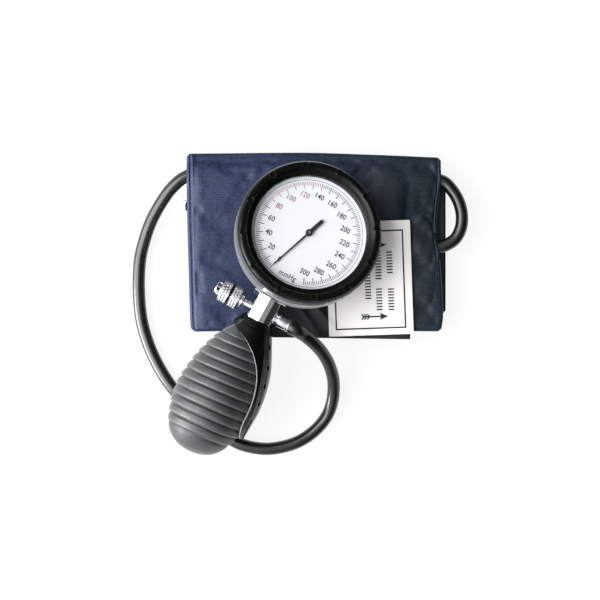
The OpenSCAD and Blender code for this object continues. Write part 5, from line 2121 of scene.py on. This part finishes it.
    def flap(self) -> None:
        """The black flap, with a sewn hem along its front and left edges."""
        piece = self.cloth_sheet("black_flap", (-self.flap_w, 0), (0, self.flap_h), 0.06,
                                 self.flap_t - 0.12, self.flap_tilt, BLACK_NYLON, "cuff_black",
                                 "cuff_flap")
        left, inset, far = self.flap_hem - self.flap_w, self.flap_hem, self.flap_h - self.flap_hem
        run = resampled(np.array([[left, far], [left, inset], [-inset, inset], [-inset, far]]), 1.0)
        z = self.flap_t - 0.02 + self.drape(run[:, 0], run[:, 1], self.flap_tilt)
        line = self.flap_place(self.flap_tilt).put(np.column_stack([run, z]))
        self.stitches("flap_stitches", line - LAYOUT.table().origin, 2.6, (0.95, 0.22, 0.14),
                      BLACK_INK, "cuff_black")

    def label(self) -> None:
        """The white label sewn to the flap, with a printed border, plain arrows and index bars."""
        low = self.flap_t - 0.02
        piece = self.cloth_sheet("white_label", (self.label_left, self.label_right),
                                 (self.label_low, self.label_high), low, self.label_t,
                                 self.label_tilt, LABEL_SATIN, "label_white", "cuff_label")
        bars = [self.bar(*b) for b in self.border() + self.index_bars()]
        bars += [self.arrow(x, y, self.arrow_len) for x, y in self.arrows]
        points = np.vstack([b[0] for b in bars])
        counts = np.cumsum([0] + [len(b[0]) for b in bars[:-1]])
        faces = np.vstack([b[1] + c for b, c in zip(bars, counts)])
        z = low + self.label_t + self.print_lift
        z = z + self.drape(points[:, 0], points[:, 1], self.label_tilt)
        flat = np.column_stack([points, z])
        mark = shell(self.flap_place(self.label_tilt).put(flat), faces, "label_marks", closed=False)
        finished(mark, BLACK_INK, "label_white")

    def bar(self, x0: float, y0: float, x1: float, y1: float) -> tuple[Array, Array]:
        """A printed bar as a fine strip of faces, so that it can follow the cloth."""
        nx, ny = max(2, int(abs(x1 - x0) / 1.5) + 2), max(2, int(abs(y1 - y0) / 1.5) + 2)
        x, y = np.meshgrid(np.linspace(x0, x1, nx), np.linspace(y0, y1, ny), indexing="ij")
        return np.stack([x.ravel(), y.ravel()], axis=1), quads(nx, ny)[:, ::-1]

    def border(self) -> list[tuple[float, float, float, float]]:
        """Four thin bars round the label, a little deeper at its top."""
        w, (left, right, low, high) = self.border_half, self.border_box
        return [(left - w, low - w, right + w, low + w), (left - w, high - w, right + w, high + w),
                (left - w, low + w, left + w, high - w), (right - w, low + w, right + w, high - w)]

    def index_bars(self) -> list[tuple[float, float, float, float]]:
        """Columns of short index bars, like the graduations of a size scale."""
        long, tall = self.index_size
        return [(x, y, x + long, y + tall) for x, start, stop in self.index_columns
                for y in np.arange(start, stop, self.index_pitch)]

    def arrow(self, x: float, y: float, length: float) -> tuple[Array, Array]:
        """A plain arrow that points right: a shaft, a head, and slanted strokes as its tail.

        Args:
            x: where its tail starts.
            y: the height of its shaft.
            length: its whole length.

        Returns:
            Points of the flap's plane and faces.
        """
        shaft = np.array([[0, -0.4], [length - 4, -0.4], [length - 4, 0.4], [0, 0.4]])
        head = np.array([[length - 4.7, -1.9], [length, 0], [length - 4.7, 1.9], [length - 4.1, 0]])
        stroke = np.array([[-0.9, -1.5], [0.1, -1.5], [1.2, -0.2], [0.2, -0.2]])
        strokes = [stroke + [d, 0] for d in (0, 1.5, 3.0)] + [
            stroke[::-1] * [1, -1] + [d, 0] for d in (0, 1.5, 3.0)]
        points = np.vstack([shaft, head, *strokes]) + [x, y]
        return points, np.arange(len(points)).reshape(-1, 4)

    def metal_bar(self) -> None:
        """The steel bar that the cuff is threaded through: round wire in a long narrow loop."""
        r, c = self.wire_r, self.bar_corner
        x0, y0 = self.left - self.bar_out + r, self.bar_y - self.bar_wide / 2 + r
        w, h = self.bar_long - 2 * r, self.bar_wide - 2 * r
        a = np.radians(np.linspace(0, 90, 9))
        corners = ((x0 + w - c, y0 + h - c, 0), (x0 + c, y0 + h - c, np.pi / 2),
                   (x0 + c, y0 + c, np.pi), (x0 + w - c, y0 + c, 1.5 * np.pi))
        arcs = [np.stack([cx + c * np.cos(a + s), cy + c * np.sin(a + s)], axis=1)
                for cx, cy, s in corners]
        loop = resampled(np.vstack([*arcs, arcs[0][:1]]), 2.0)[:-1]
        line = np.column_stack([loop, np.full(len(loop), self.bar_z)])
        piece = grid_shell(tube_grid(line, r, 20, closed=True), LAYOUT.table(), "steel_bar_loop",
                           wrap_rows=True, sharp=60)
        finished(piece, CHROME, "steel", "metal_bar")

    def build(self) -> None:
        """Makes every piece of the cuff, from the table up."""
        left, front, right, back = box = (self.left, self.front, self.right, self.back)
        self.fold("lower_fold", (left + 0.8, front + 0.8, right - 0.8, back - 0.8), 0.0, 5.2, 2.6,
                  None, None, CUFF_NYLON, "cuff_blue", "cuff_lower_fold", bends=0.7)
        self.fold("inner_fold", (left + 2, front + 10, right + 3.9, back - 11), 5.3, 8.3, 1.5, None,
                  None, BLACK_NYLON, "cuff_black", "cuff_inner_fold", 1.5, bends=0.0)
        upper = self.fold("upper_fold", box, self.upper_z, self.top, self.layer_gap, self.upper_top,
                          self.upper_under, CUFF_NYLON, "cuff_blue", "cuff_upper_fold", 2.4, 1.6)
        self.settle(upper)
        self.seam(Side.LEFT)
        self.seam(Side.RIGHT)
        self.metal_bar()
        self.flap()
        self.label()


# ---- the whole


def dress_solids() -> None:
    """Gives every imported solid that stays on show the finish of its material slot."""
    slots = {s["node"]: s["material_slot"] for s in frame["record"]["subparts"]}
    for node, made in frame["nodes"].items():
        material = SLOT_FINISH[slots[node]].build()
        made.data.materials.clear()
        made.data.materials.append(material)
        LOG.info("%s: solid, %s", node, material.name)


def main() -> None:
    """Builds the studio, then every sub-assembly in order."""
    logging.basicConfig(level=logging.INFO, format="%(message)s")
    Studio().build()
    dress_solids()
    for part in (Hose(), Cuff(), Gauge(), Manifold(), ReleaseValve(), BulbUnit()):
        part.build()
        LOG.info("%s done", type(part).__name__)


if __name__ == "__main__":
    main()
